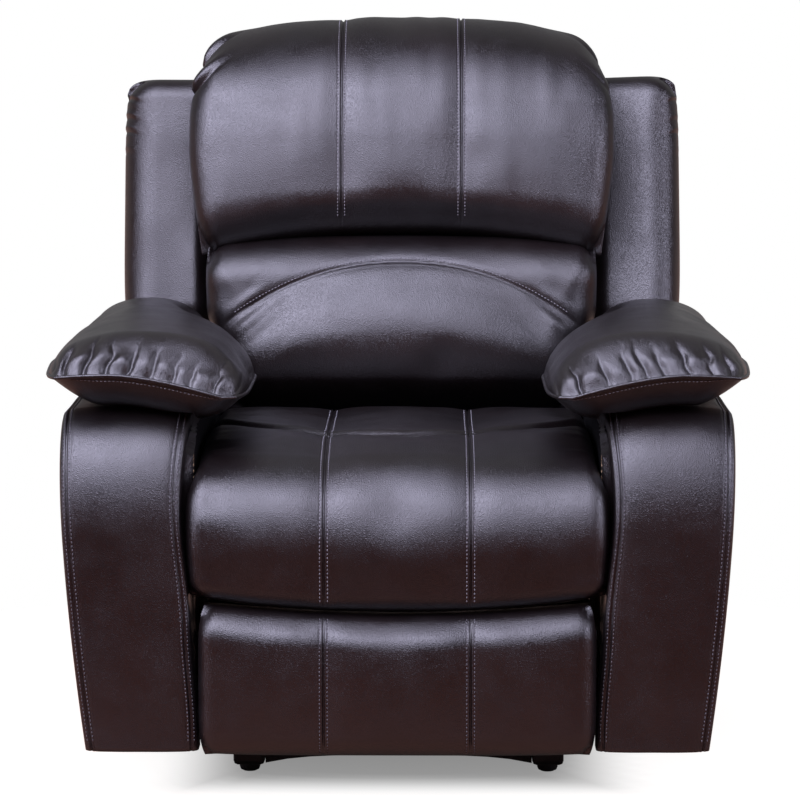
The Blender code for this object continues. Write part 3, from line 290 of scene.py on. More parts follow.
def run_cloth(points, quads, held, slack):
    """Blows a sheet up as cloth, held at some points, and returns where its points end."""
    mesh = bpy.data.meshes.new("cloth")
    mesh.from_pydata(points.tolist(), [], quads.tolist())
    obj = add_object("cloth", mesh)
    group = obj.vertex_groups.new(name="held")
    group.add(np.flatnonzero(held).tolist(), 1.0, "REPLACE")
    cloth = obj.modifiers.new("cloth", "CLOTH")
    cloth.collision_settings.use_collision = False
    settings = cloth.settings
    settings.quality = 5
    settings.vertex_group_mass = group.name
    settings.tension_stiffness = settings.compression_stiffness = CLOTH_STIFFNESS
    settings.shear_stiffness = CLOTH_STIFFNESS / 2
    settings.bending_stiffness = CLOTH_BENDING
    settings.air_damping = CLOTH_DAMPING
    settings.use_pressure = True
    settings.uniform_pressure_force = CLOTH_PRESSURE
    settings.shrink_min = -slack
    settings.effector_weights.gravity = 0
    scene = bpy.context.scene
    for step in range(1, CLOTH_FRAMES + 1):
        scene.frame_set(step)
    ended = np.empty(points.size)
    obj.evaluated_get(bpy.context.evaluated_depsgraph_get()).data.vertices.foreach_get("co", ended)
    scene.frame_set(1)
    bpy.data.objects.remove(obj)
    bpy.data.meshes.remove(mesh)
    return ended.reshape(-1, 3)


def calm(field, fixed):
    """Evens out the sharp dents of a cloth's movement and keeps the fixed points still."""
    for _ in range(CLOTH_CALM):
        wide = np.pad(field, ((1, 1), (0, 0), (0, 0)), mode="edge")
        field = (wide[:-2] + 2 * wide[1:-1] + wide[2:]) / 4
        wide = np.pad(field, ((0, 0), (1, 1), (0, 0)), mode="edge")
        field = (wide[:, :-2] + 2 * wide[:, 1:-1] + wide[:, 2:]) / 4
        field = np.where(fixed[:, :, None], 0, field)
    return field


def filled(shape, across, along, slack, held=None):
    """A form whose outer face is blown up as cloth between its edges and the places where it is held."""
    a, b = (grid.ravel() for grid in np.meshgrid(across, along, indexing="ij"))
    start = shape(a, b, np.ones_like(a))
    index = np.arange(a.size).reshape(len(across), len(along))
    quads = np.stack([index[:-1, :-1], index[1:, :-1], index[1:, 1:], index[:-1, 1:]], axis=-1).reshape(-1, 4)
    corner, right, up = (start[quads[:, n]] for n in (0, 1, 3))
    outward = corner - shape(a, b, -np.ones_like(a))[quads[:, 0]]
    if np.sum(np.cross(right - corner, up - corner) * outward) < 0:
        quads = quads[:, ::-1]
    fixed = np.maximum(np.abs(a), np.abs(b)) > AT_EDGE
    if held:
        fixed = fixed | held(a, b)
    shift = run_cloth(start, quads, fixed, slack) - start
    far = np.linalg.norm(shift, axis=1)
    shift = shift * np.minimum(1, CLOTH_REACH / (far + 1e-9))[:, None]
    field = calm(shift.reshape(len(across), len(along), 3), fixed.reshape(len(across), len(along)))

    def fuller(a, b, c):
        a_now, a_back = np.unique(a, return_inverse=True)
        b_now, b_back = np.unique(b, return_inverse=True)
        moved = np.einsum("ij,jkn->ikn", spline_weights(across, a_now), field)
        moved = np.einsum("ikn,mk->imn", moved, spline_weights(along, b_now))
        return shape(a, b, c) + moved[a_back, b_back] * ((1 + c) / 2)[:, None]

    return fuller


def seamed_places(half, seam, step, *fine):
    """Places across a form with three sewn panels, closer beside each seam."""
    return places(2 * half, step, (half - seam, 0.009, 0.0011), (half + seam, 0.009, 0.0011), *fine)


def panel_places(half, seam):
    """Places for the cloth across a form with three sewn panels, with one on each seam."""
    seam = seam / half
    outer = np.linspace(seam, 1, int((1 - seam) * half / CLOTH_STEP) + 1)
    inner = np.linspace(-seam, seam, int(2 * seam * half / CLOTH_STEP) + 1)
    return np.concatenate([-outer[::-1], inner[1:-1], outer])


def on_seams(half, seam):
    """Tells which places lie on the two lengthwise seams of a form."""
    return lambda a, b: np.abs(np.abs(a) - seam / half) < 0.001


def places_at(shape, x, b, half):
    """The place across a form at which its outer face has each x."""
    a = x / half
    for _ in range(5):
        a = a + (x - shape(a, b, np.ones_like(b))[:, 0]) / half
    return a


def ring_faces(start, rings, sides):
    """Faces between rings of points that follow one another, and one at each end."""
    faces = []
    for low in range(start, start + (rings - 1) * sides, sides):
        for n in range(sides):
            m = (n + 1) % sides
            faces.append((low + n, low + m, low + sides + m, low + sides + n))
    faces.append(tuple(start + n for n in reversed(range(sides))))
    faces.append(tuple(start + (rings - 1) * sides + n for n in range(sides)))
    return faces


def stitch_mesh(lines):
    """Short rounded stitches laid along lines of (points, normals). Returns points and faces."""
    profile = ((-0.5, 0.25), (-0.32, 0.95), (0.32, 0.95), (0.5, 0.25))
    sides, ahead, flatness = 6, 0.002, 0.8
    points, faces = [], []
    for line, normals in lines:
        run = np.concatenate([[0], np.cumsum(np.linalg.norm(np.diff(line, axis=0), axis=1))])

        def at(place, values):
            return np.array([np.interp(place, run, values[:, n]) for n in range(3)])

        for middle in np.arange(STITCH_LENGTH, run[-1] - STITCH_LENGTH, STITCH_LENGTH + STITCH_GAP):
            centre = at(middle, line)
            normal = at(middle, normals)
            along = at(middle + ahead, line) - centre
            along /= np.linalg.norm(along) + 1e-12
            side = np.cross(along, normal)
            faces += ring_faces(len(points), len(profile), sides)
            for place, size in profile:
                for n in range(sides):
                    angle = 2 * math.pi * n / sides
                    ring = side * math.cos(angle) + normal * math.sin(angle) * flatness
                    points.append(centre + along * place * STITCH_LENGTH + ring * size * STITCH_RADIUS)
    return np.array(points), faces


def stitches(name, lines, body, thread=None):
    points, faces = stitch_mesh(lines)
    add_piece(name, points, faces, thread or LIT_THREAD, body)


def stitch_panels(name, shape, run, half, seam, body, thread=None):
    """Two rows of stitches beside each of a form's two lengthwise seams."""
    lines = []
    for middle in (-seam, seam):
        for row in (-STITCH_ROW, STITCH_ROW):
            a = places_at(shape, np.full_like(run, middle + row), run, half)
            lines.append(surface_line(shape, a, run, STITCH_LIFT))
    stitches(name, lines, body, thread)


def tube_mesh(line, normals, radius, sides=8):
    """A tube along a line of points, as points and faces with closed ends."""
    tangent = unit(np.gradient(line, axis=0))
    side = unit(np.cross(tangent, normals))
    up = np.cross(side, tangent)
    points = []
    for n in range(sides):
        angle = 2 * math.pi * n / sides
        points.append(line + radius * (math.cos(angle) * side + math.sin(angle) * up))
    return np.stack(points, axis=1).reshape(-1, 3), ring_faces(0, len(line), sides)


def leather_cord(name, line, radius, body):
    points, faces = tube_mesh(*line, radius)
    add_piece(name, points, faces, LEATHER, body)


def bent_path(s, straight, radius, start, along, toward):
    """Points and outward normals on a path that runs straight, turns a quarter and runs on."""
    start, along, toward = (np.array(v, float) for v in (start, along, toward))
    bend = radius * math.pi / 2
    angle = np.clip((s - straight) / radius, 0, math.pi / 2)
    first = np.minimum(s, straight)
    last = np.maximum(s - straight - bend, 0)
    normal = np.outer(np.cos(angle), -toward) + np.outer(np.sin(angle), along)
    point = start + np.outer(first, along) + np.outer(last, toward)
    point = point + radius * (np.outer(np.sin(angle), along) + np.outer(1 - np.cos(angle), toward))
    return point, normal


def back_frame(x, y, z):
    """Takes points of the upright back's own frame to the chair's frame."""
    turned_y, turned_z = y * TILT_COS + z * TILT_SIN, -y * TILT_SIN + z * TILT_COS
    return np.stack([x, RECLINE_Y + turned_y, RECLINE_Z + turned_z], axis=1)


# Materials


def new_material(name, colour, roughness, metallic=0.0):
    material = bpy.data.materials.new(name)
    material.use_nodes = True
    tree = material.node_tree
    shader = tree.nodes["Principled BSDF"]
    shader.inputs["Base Color"].default_value = (*colour, 1)
    shader.inputs["Roughness"].default_value = roughness
    shader.inputs["Metallic"].default_value = metallic
    return material, tree, shader


def add_node(tree, kind, **values):
    node = tree.nodes.new(kind)
    for key, value in values.items():
        if key in node.inputs:
            node.inputs[key].default_value = value
        else:
            setattr(node, key, value)
    return node


def ramp(tree, source, low, high, first, last):
    """Maps a value between two levels to two numbers or colours."""
    node = add_node(tree, "ShaderNodeValToRGB")
    node.color_ramp.elements[0].position = low
    node.color_ramp.elements[1].position = high
    for element, value in zip(node.color_ramp.elements, (first, last)):
        element.color = (*value, 1) if isinstance(value, tuple) else (value, value, value, 1)
    tree.links.new(source, node.inputs["Fac"])
    return node.outputs["Color"]


def math_node(tree, operation, *sources):
    """A node that reckons with sockets and numbers."""
    node = add_node(tree, "ShaderNodeMath", operation=operation)
    for socket, source in zip(node.inputs, sources):
        if isinstance(source, float):
            socket.default_value = source
        else:
            tree.links.new(source, socket)
    return node


def object_places(tree):
    return add_node(tree, "ShaderNodeTexCoord").outputs["Object"]


def noise_on(tree, where, **values):
    """The outputs of a noise texture over the places that a socket gives."""
    node = add_node(tree, "ShaderNodeTexNoise", **values)
    tree.links.new(where, node.inputs["Vector"])
    return node.outputs


def bump(tree, height, strength, distance, under=None):
    """A normal that a height bumps, on top of another bump where one is given."""
    node = add_node(tree, "ShaderNodeBump", Strength=strength, Distance=distance)
    tree.links.new(height, node.inputs["Height"])
    if under is not None:
        tree.links.new(under, node.inputs["Normal"])
    return node.outputs["Normal"]


def leather_material():
    """Black pebbled faux leather: fine grain cells, soft unevenness, and sheen that varies a little."""
    material, tree, shader = new_material("black_leather", (0.009, 0.008, 0.009), 0.34)
    link = tree.links.new
    where = object_places(tree)
    shift = add_node(tree, "ShaderNodeVectorMath", operation="MULTIPLY_ADD")
    shift.inputs[1].default_value = (0.0022, 0.0022, 0.0022)
    link(noise_on(tree, where, Scale=240.0, Detail=2.0)["Color"], shift.inputs[0])
    link(where, shift.inputs[2])
    cells = add_node(tree, "ShaderNodeTexVoronoi", feature="DISTANCE_TO_EDGE", Scale=430.0)
    link(shift.outputs[0], cells.inputs["Vector"])
    pebbles = ramp(tree, cells.outputs["Distance"], 0.0, 0.42, 0.0, 1.0)
    patches = noise_on(tree, where, Scale=26.0, Detail=3.0, Roughness=0.5)["Fac"]
    broad = noise_on(tree, where, Scale=9.0, Detail=3.0)["Fac"]
    link(ramp(tree, patches, 0.30, 0.72, 0.28, 0.37), shader.inputs["Roughness"])
    dark, light = (0.0046, 0.0030, 0.0032), (0.0080, 0.0050, 0.0050)
    link(ramp(tree, broad, 0.35, 0.68, dark, light), shader.inputs["Base Color"])
    uneven = bump(tree, patches, 0.22, 0.0012)
    link(bump(tree, pebbles, 0.55, 0.00040, uneven), shader.inputs["Normal"])
    shader.inputs["Specular IOR Level"].default_value = 0.90
    return material


def thread_material(name, dark, light):
    material, tree, shader = new_material(name, dark, 0.45)
    lay = noise_on(tree, object_places(tree), Scale=900.0, Detail=2.0)["Fac"]
    tree.links.new(ramp(tree, lay, 0.35, 0.7, dark, light), shader.inputs["Base Color"])
    return material


def lining_material():
    """Dull black cloth of the hidden faces: a fine felt with no shine."""
    material, tree, shader = new_material("black_lining", (0.006, 0.006, 0.006), 0.95)
    felt = noise_on(tree, object_places(tree), Scale=1100.0, Detail=3.0)["Fac"]
    tint = ramp(tree, felt, 0.35, 0.65, (0.003, 0.003, 0.003), (0.010, 0.0095, 0.010))
    tree.links.new(tint, shader.inputs["Base Color"])
    tree.links.new(bump(tree, felt, 0.4, 0.0004), shader.inputs["Normal"])
    shader.inputs["Specular IOR Level"].default_value = 0.05
    return material


def timber_material(name, light, dark, roughness):
    """Sawn timber with long grain along Y and a few darker streaks."""
    material, tree, shader = new_material(name, light, roughness)
    link = tree.links.new
    stretch = add_node(tree, "ShaderNodeMapping")
    stretch.inputs["Scale"].default_value = (38.0, 3.2, 38.0)
    link(object_places(tree), stretch.inputs["Vector"])
    along = stretch.outputs["Vector"]
    grain = noise_on(tree, along, Scale=3.0, Detail=7.0, Roughness=0.62, Distortion=0.6)["Fac"]
    link(ramp(tree, grain, 0.34, 0.66, dark, light), shader.inputs["Base Color"])
    link(ramp(tree, grain, 0.3, 0.7, roughness + 0.12, roughness - 0.05), shader.inputs["Roughness"])
    link(bump(tree, grain, 0.25, 0.0005), shader.inputs["Normal"])
    return material


def enamel_material(name, dark, light, roughness, metallic, scale):
    """A painted, drawn or moulded surface with fine unevenness and small differences in sheen."""
    material, tree, shader = new_material(name, dark, roughness, metallic)
    link = tree.links.new
    where = object_places(tree)
    speckle = noise_on(tree, where, Scale=scale, Detail=4.0)["Fac"]
    wear = noise_on(tree, where, Scale=scale / 14, Detail=5.0, Roughness=0.65)["Fac"]
    link(ramp(tree, wear, 0.36, 0.72, dark, light), shader.inputs["Base Color"])
    link(ramp(tree, speckle, 0.3, 0.7, roughness - 0.08, roughness + 0.10), shader.inputs["Roughness"])
    link(bump(tree, speckle, 0.18, 0.0003), shader.inputs["Normal"])
    return material


def webbing_material():
    """Woven elastic webbing with ribs along the strap."""
    material, tree, shader = new_material("woven_webbing", (0.05, 0.048, 0.052), 0.85)
    link = tree.links.new
    where = object_places(tree)
    ribs = add_node(tree, "ShaderNodeTexWave", Scale=60.0, Distortion=0.6, bands_direction="Z")
    weft = add_node(tree, "ShaderNodeTexWave", Scale=110.0, Distortion=0.4, bands_direction="X")
    link(where, ribs.inputs["Vector"])
    link(where, weft.inputs["Vector"])
    weave = math_node(tree, "MULTIPLY", ribs.outputs["Fac"], weft.outputs["Fac"]).outputs[0]
    tint = ramp(tree, weave, 0.0, 1.0, (0.02, 0.02, 0.022), (0.10, 0.097, 0.104))
    link(tint, shader.inputs["Base Color"])
    link(bump(tree, weave, 0.5, 0.0006), shader.inputs["Normal"])
    return material


LEATHER = leather_material()
# The one dark thread in two painted copies: a lighter grey one with painted highlight for the seat, head,
# lumbar and arm pillows, and a darker one with painted shade for the arms and footrest, which sit lower.
LIT_THREAD = thread_material("thread_lit_copy", (0.13, 0.126, 0.134), (0.28, 0.272, 0.288))
SHADED_THREAD = thread_material("thread_shaded_copy", (0.07, 0.067, 0.072), (0.16, 0.154, 0.166))
LINING = lining_material()
SPRING = enamel_material("drawn_wire", (0.30, 0.29, 0.28), (0.42, 0.41, 0.40), 0.34, 1.0, 500.0)
STEEL_TONES = (0.020, 0.020, 0.021), (0.040, 0.039, 0.040)
PLASTIC_TONES = (0.016, 0.016, 0.017), (0.022, 0.022, 0.023)
FINISHES = {
    "timber": timber_material("pale_timber", (0.52, 0.38, 0.22), (0.36, 0.23, 0.115), 0.62),
    "black_timber": timber_material("black_timber", (0.020, 0.018, 0.018), (0.011, 0.010, 0.010), 0.48),
    "black_steel": enamel_material("black_enamel", *STEEL_TONES, 0.38, 0.2, 700.0),
    "spring_steel": SPRING,
    "black_plastic": enamel_material("moulded_plastic", *PLASTIC_TONES, 0.45, 0.0, 1500.0),
    "webbing": webbing_material(),
    "black_leather": LEATHER,
}


def finish_nodes():
    """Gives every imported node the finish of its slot."""
    for part in frame["record"]["subparts"]:
        materials = frame["nodes"][part["node"]].data.materials
        materials.clear()
        materials.append(FINISHES[part["material_slot"]])


# Seat


def make_seat():
    rear, front, lip = 0.136, -0.462, 0.276
    bottom = 0.3604
    thick, lip_thick, roll = 0.116, 0.084, 0.074
    middle = bottom + thick / 2
    lip_y = front + lip_thick / 2
    straight = rear - (lip_y + roll)
    tail = middle - roll - lip
    length = straight + roll * math.pi / 2 + tail
    narrow = 0.2730

    def half_width(s):
        return narrow + 0.0125 * ease((s - straight) / 0.07)

    def seat_seam(a):
        return 0.365 - 0.150 * np.abs(a) ** 1.7

    def shape(a, b, c):
        half = half_width(between(b, 0, length))
        side, rear_gap, lip_gap = half * (1 - np.abs(a)), length * (1 + b) / 2, length * (1 - b) / 2
        a, b = rounded_plan(a, b, 0.02)
        s = between(b, 0, length)
        x = half * a
        hanging = ease((s / length - 0.70) / 0.30)
        sag = 0.017 * (1 - a * a) * hanging
        place, normal = bent_path(s, straight, roll, (rear, middle), (-1, 0), (0, -1))
        through = thick + (lip_thick - thick) * ease((s / length - 0.55) / 0.25)
        drop = edge_drop((side, 0.026), (rear_gap, 0.030), (lip_gap, 0.026))
        inside = ease(side / 0.022) * ease(rear_gap / 0.03) * ease(lip_gap / 0.03)
        seam_at = seat_seam(a)
        crest = ease((s - seam_at) / 0.06) * (1 - 0.85 * ease((s - seam_at - 0.06) / 0.12))
        panel = 0.005 * (1 - 0.45 * a * a) * crest
        behind = 0.0050 * bell((s - seam_at + 0.016) / 0.014)
        cross = seam_dip(s - seam_at, 0.0045, 0.009) - behind
        seams = seam_dip(np.abs(x) - PANEL_SEAM, 0.0034, 0.020)
        pull = 0.0013 * noise(x / 0.019, s / 0.075, 3) * bell((s - seam_at - 0.030) / 0.032)
        pull = pull + 0.0011 * noise(x / 0.050, s / 0.050, 4)
        crumple = 0.0022 * noise(x / 0.060, s / 0.019, 5) * bell(side / 0.050)
        lift = (panel - cross - seams + pull + crumple) * inside
        out = between(c, -through / 2 + 0.4 * drop, through / 2 - drop + lift)
        tuck = 0.020 * hanging
        over_crank = ease((np.abs(x) - 0.222) / 0.026) * ease((s / length - 0.74) / 0.18)
        crank_room = 0.014 * over_crank * (1 - c) / 2
        y = place[:, 0] + normal[:, 0] * out + tuck - crank_room
        return np.stack([x, y, place[:, 1] + normal[:, 1] * out - sag], axis=1)

    def sewn(a, b):
        s = between(b, 0, length)
        return on_seams(narrow, PANEL_SEAM)(a, b) | (np.abs(s - seat_seam(a)) < 0.0055)

    shape = filled(shape, panel_places(narrow, PANEL_SEAM), places(length, CLOTH_STEP), 0.003, sewn)
    across = seamed_places(narrow, PANEL_SEAM, 0.0055)
    along = places(length, 0.0042, (0.29, 0.09, 0.0017))
    grid = (across, along, LAYERS)
    padded_piece("seat_padding", grid, shape, "chassis", "seat_cushion")
    stitch_panels("seat_stitches", shape, np.linspace(-0.9, 0.965, 260), narrow, PANEL_SEAM, "chassis")
    run = np.linspace(-0.95, 0.95, 240)
    seam_place = (seat_seam(run) + WELT_PLACE) / length * 2 - 1
    leather_cord("seat_welt", surface_line(shape, run, seam_place, 0.0004), WELT_RADIUS, "chassis")


# Footrest


def make_footrest():
    half = 0.2672
    low, high = 0.063, 0.273
    rear, depth = -0.390, 0.072
    reach, middle = (high - low) / 2, (high + low) / 2

    def shape(a, b, c):
        side, top, foot = half * (1 - np.abs(a)), reach * (1 - b), reach * (1 + b)
        a, b = rounded_plan(a, b, 0.03)
        x = half * a
        z = middle + reach * b - 0.017 * (1 - a * a) * (1 + b) / 2
        drop = edge_drop((side, 0.022), (top, 0.046), (foot, 0.040))
        inside = ease(side / 0.03) * ease(top / 0.03) * ease(foot / 0.03)
        crown = 0.009 * (1 - a * a) * (1 - 0.8 * b * b)
        seams = seam_dip(np.abs(x) - PANEL_SEAM, 0.0034, 0.020)
        ripple = 0.0010 * noise(x / 0.045, z / 0.055, 11)
        ripple = ripple + 0.0010 * noise(x / 0.018, z / 0.09, 12) * bell(top / 0.05)
        lift = (crown - seams + ripple) * inside
        out = between(c, -depth / 2 + 0.3 * drop, depth / 2 - drop + lift)
        return np.stack([x, rear - depth / 2 - out, z], axis=1)

    sewn = on_seams(half, PANEL_SEAM)
    shape = filled(shape, panel_places(half, PANEL_SEAM), places(2 * reach, CLOTH_STEP), 0.004, sewn)
    grid = (seamed_places(half, PANEL_SEAM, 0.0055), places(2 * reach, 0.0042), np.linspace(-1, 1, 7))
    padded_piece("footrest_padding", grid, shape, "footrest", "footrest_pad")
    run = np.linspace(-0.93, 0.95, 120)
    stitch_panels("footrest_stitches", shape, run, half, PANEL_SEAM, "footrest", SHADED_THREAD)


# Back


def make_head_pillow():
    base, top_level, roll = 0.396, 0.674, 0.085
    thick, top_thick = 0.146, 0.114
    front = PAD_REST - thick / 2
    end = STILE_REAR + 0.020
    straight = top_level - roll - base
    tail = end - (front + roll)
    length = straight + roll * math.pi / 2 + tail
    wide = 0.3200

    def half_width(s):
        share = s / length
        return wide - 0.032 * ease((share - 0.46) / 0.42) - 0.016 * ease((0.34 - share) / 0.34)

    def shape(a, b, c):
        half = half_width(between(b, 0, length))
        side, under, over = half * (1 - np.abs(a)), length * (1 + b) / 2, length * (1 - b) / 2
        a, b = rounded_plan(a, b, 0.012)
        s = between(b, 0, length)
        share = s / length
        place, normal = bent_path(s, straight, roll, (front, base), (0, 1), (1, 0))
        through = thick + (top_thick - thick) * ease((share - 0.35) / 0.35)
        x = a * (half + (0.276 - half) * (1 - c) / 2)
        drop = edge_drop((side, 0.034), (under, 0.060), (over, 0.030))
        inside = ease(side / 0.040) * ease(under / 0.04) * ease(over / 0.03)
        crown = (1 - a * a) * (0.013 * (1 - 0.5 * b * b) + 0.004 * bell((share - 0.75) / 0.2))
        valley = 0.0030 - 0.0018 * ease((share - 0.55) / 0.2)
        seams = seam_dip(np.abs(x) - HEAD_SEAM, valley, 0.020)
        ripple = 0.0013 * noise(x / 0.060, s / 0.060, 21) + 0.0008 * noise(x / 0.022, s / 0.075, 22)
        tucks = 0
        for at, left_size, right_size in ((0.212, 0.0085, 0.0020), (0.262, 0.0095, 0.0030)):
            slant = s - at - 0.60 * side
            fold = 0.8 * bell((slant - 0.011) / 0.010) - bell((slant + 0.001) / 0.0042)
            tucks = tucks + np.where(a < 0, left_size, right_size) * fold * bell(side / 0.030)
        x = x + np.sign(a) * 0.75 * tucks * (c + 1) / 2
        lift = (crown - seams + ripple) * inside + tucks
        out = between(c, -through / 2, through / 2 - drop + lift)
        low_hang = 0.040 * np.abs(a) ** 2.4 * bell(s / 0.09)
        top_hang = 0.020 * np.abs(a) ** 3 * ease((share - 0.42) / 0.30)
        y, z = (place + normal * out[:, None]).T
        return back_frame(x, y, z - low_hang - top_hang)

    sewn = on_seams(wide, HEAD_SEAM)
    shape = filled(shape, panel_places(wide, HEAD_SEAM), places(length, CLOTH_STEP), 0.005, sewn)
    across = seamed_places(wide, HEAD_SEAM, 0.0058, (0, 0.03, 0.0022), (2 * wide, 0.03, 0.0022))
    along = places(length, 0.0042, (0.245, 0.05, 0.0020))
    grid = (across, along, LAYERS)
    padded_piece("head_padding", grid, shape, "back", "head_pillow")
    stitch_panels("head_stitches", shape, np.linspace(-0.90, 0.90, 240), wide, HEAD_SEAM, "back")


def make_lumbar():
    narrow, wide = 0.2735, 0.2930
    low, high = 0.130, 0.394
    depth = 0.150
    reach, middle = (high - low) / 2, (high + low) / 2
    arch_fall, arch_reach = 0.086, 0.252

    def arch(x):
        return 0.343 - arch_fall * (np.abs(x) / arch_reach) ** 2.1

    def arch_slope(x):
        return np.sqrt(1 + np.square(2.1 * arch_fall / arch_reach * (np.abs(x) / arch_reach) ** 1.1))

    def shape(a, b, c):
        half = narrow + (wide - narrow) * ease((c + 0.6) / 0.8) * ease((b + 0.35) / 0.5)
        side, top, foot = half * (1 - np.abs(a)), reach * (1 - b), reach * (1 + b)
        a, b = rounded_plan(a, b, 0.015)
        x = half * a
        z = middle + reach * b - 0.012 * np.abs(a) ** 2.4 * np.maximum(b, 0) ** 2
        drop = edge_drop((side, 0.060 - 0.030 * ease((b - 0.1) / 0.5)), (top, 0.085), (foot, 0.105))
        inside = ease(side / 0.035) * ease(top / 0.02) * ease(foot / 0.04)
        gap = (arch(x) - z) / arch_slope(x)
        panel = 0.016 * ease(gap / 0.110) * (1 - 0.55 * a * a)
        seam = 0.0022 * bell(gap / 0.008) + 0.0024 * bell(gap / 0.0014)
        seam = seam - 0.0008 * bell((gap - 0.003) / 0.0016)
        ripple = 0.0008 * noise(x / 0.070, z / 0.060, 31)
        corner = bell((np.abs(x) - 0.225) / 0.042) * bell((z - 0.262) / 0.050)
        creases = 0.0036 * noise((np.abs(x) * 0.8 + z) / 0.018, (np.abs(x) - z) / 0.07, 32) * corner
        lift = (panel - seam + ripple + creases) * inside
        out = between(c, -depth / 2, depth / 2 - drop + lift)
        return back_frame(x, PAD_REST - depth / 2 - out, z)

    def sewn(a, b):
        z = middle + reach * b
        return np.abs(arch(wide * a) - z) / arch_slope(wide * a) < 0.0055

    shape = filled(shape, places(2 * wide, CLOTH_STEP), places(2 * reach, CLOTH_STEP), 0.005, sewn)
    grid = (places(2 * wide, 0.0040), places(2 * reach, 0.0022), LAYERS)
    padded_piece("lumbar_padding", grid, shape, "back", "lumbar_cushion")
    run = np.linspace(-0.86, 0.86, 220)
    b = (arch(wide * run) - middle) / reach
    for _ in range(8):
        here = shape(run, b, np.ones_like(b))
        level = (here[:, 2] - RECLINE_Z) * TILT_COS + (here[:, 1] - RECLINE_Y) * TILT_SIN
        b = b + (arch(here[:, 0]) + STITCH_ROW * arch_slope(here[:, 0]) - level) / reach * 0.8
    stitches("lumbar_stitches", [surface_line(shape, run, b, 0.0004)], "back")


def make_back_lining():
    """The thin cover over the frame behind the cushions, tucked down behind the seat."""
    half, low, high = 0.2746, 0.012, 0.612
    front, rear = 0.0424, 0.0447

    def shape(a, b, c):
        z = between(b, low, high)
        ripple = 0.0006 * noise(half * a / 0.05, z / 0.06, 55)
        return back_frame(half * a, between(c, rear, front + ripple * (c > 0)), z)

    a, b, c, quads = block_grid(places(2 * half, 0.012), places(high - low, 0.012), TWO_FACES)
    lining = add_piece("back_lining", shape(a, b, c), quads, LINING, "back")


def make_gap_flap():
    """The slack cloth that closes the gap between the seat's rear rail and the lower end of the back."""
    half, thick, sag = 0.2640, 0.0018, 0.022
    front, rear, level = 0.1318, 0.2600, 0.350
    span = rear - front

    def shape(a, b, c):
        along = (b + 1) / 2
        ripple = 0.0012 * noise(half * a / 0.05, along * 3, 58) * (1 - b * b)
        z = level - sag * (1 - b * b) + ripple + between(c, -thick, 0)
        return np.stack([half * a, front + span * along, z], axis=1)

    a, b, c, quads = block_grid(places(2 * half, 0.010), places(span, 0.006), TWO_FACES)
    flap = mesh_object("seat_back_flap", shape(a, b, c), quads, LINING)
    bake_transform(flap)


def make_stile_cover(side_name, sign):
    """The leather on the outside of the back's frame, between the arm and the wing."""
    inner, outer = 0.2652, 0.2722
    low, high = 0.150, 0.285
    front, rear = 0.0430, 0.0850

    def shape(a, b, c):
        z = between(b, low, high)
        y = between(a, front, rear)
        drop = edge_drop(((rear - front) / 2 * (1 - np.abs(a)), 0.005))
        ripple = 0.0005 * noise(y / 0.02, z / 0.03, 57)
        return back_frame(sign * between(c, inner, outer - drop + ripple), y, z)

    a, b, c, quads = block_grid(places(rear - front, 0.0025), places(high - low, 0.006), TWO_FACES)
    add_piece(f"stile_cover_{side_name}", shape(a, b, c), quads, LEATHER, "back")


def make_wing(side_name, sign):
    inner, outer = 0.2657, 0.4250
    low, high = 0.265, 0.650 + 0.005 * sign
    rear, front, inner_depth = STILE_REAR, -0.012, 0.036
    reach, middle = (high - low) / 2, (high + low) / 2
    half = (outer - inner) / 2
    slope, lean, pleat_share = (0.06, 0, 1) if sign < 0 else (0.50, 0.014, 0.4)

    def shape(a, b, c):
        side, top, foot = half * (1 - a), reach * (1 - b), reach * (1 + b)
        inner_side = half * (1 + a)
        rounded_a, rounded_b = rounded_plan(a, b, 0.07)
        a = np.where(a > 0, rounded_a, a)
        b = np.where((a > 0) & (b > 0), rounded_b, b)
        x = inner + half * (1 + a)
        z = middle + reach * b
        swollen = (1 - slope) * ease((a + 1) / 0.62) + slope * (a + 1) / 2
        face = (rear - inner_depth) + (front - rear + inner_depth) * swollen + lean * b
        drop = edge_drop((side, 0.054), (top, 0.036), (foot, 0.030), (inner_side, 0.026))
        inside = ease(side / 0.02) * ease(top / 0.02) * ease(foot / 0.03)
        ripple = 0.0016 * noise(x / 0.045, z / 0.070, 41 + sign) * inside
        pleats = 0
        for at, size in ((0.536, 0.0012), (0.568, 0.0028), (0.589, 0.0022), (0.619, 0.0040)):
            slant = z - at + 0.45 * side
            fold = bell((slant - 0.004) / 0.0045) - 1.2 * bell((slant + 0.003) / 0.0035)
            pleats = pleats + pleat_share * size * fold * bell(side / 0.016)
        y = between(c, rear, face + drop - ripple - pleats)
        return back_frame(sign * (x + 0.25 * pleats * (c + 1) / 2), y, z)

    across = places(2 * half, 0.0040, (2 * half, 0.035, 0.0022))
    up = places(2 * reach, 0.0045, (0.325, 0.05, 0.0020))
    grid = (across, up, LAYERS)
    padded_piece(f"wing_padding_{side_name}", grid, shape, "back", f"back_wing_{side_name}")


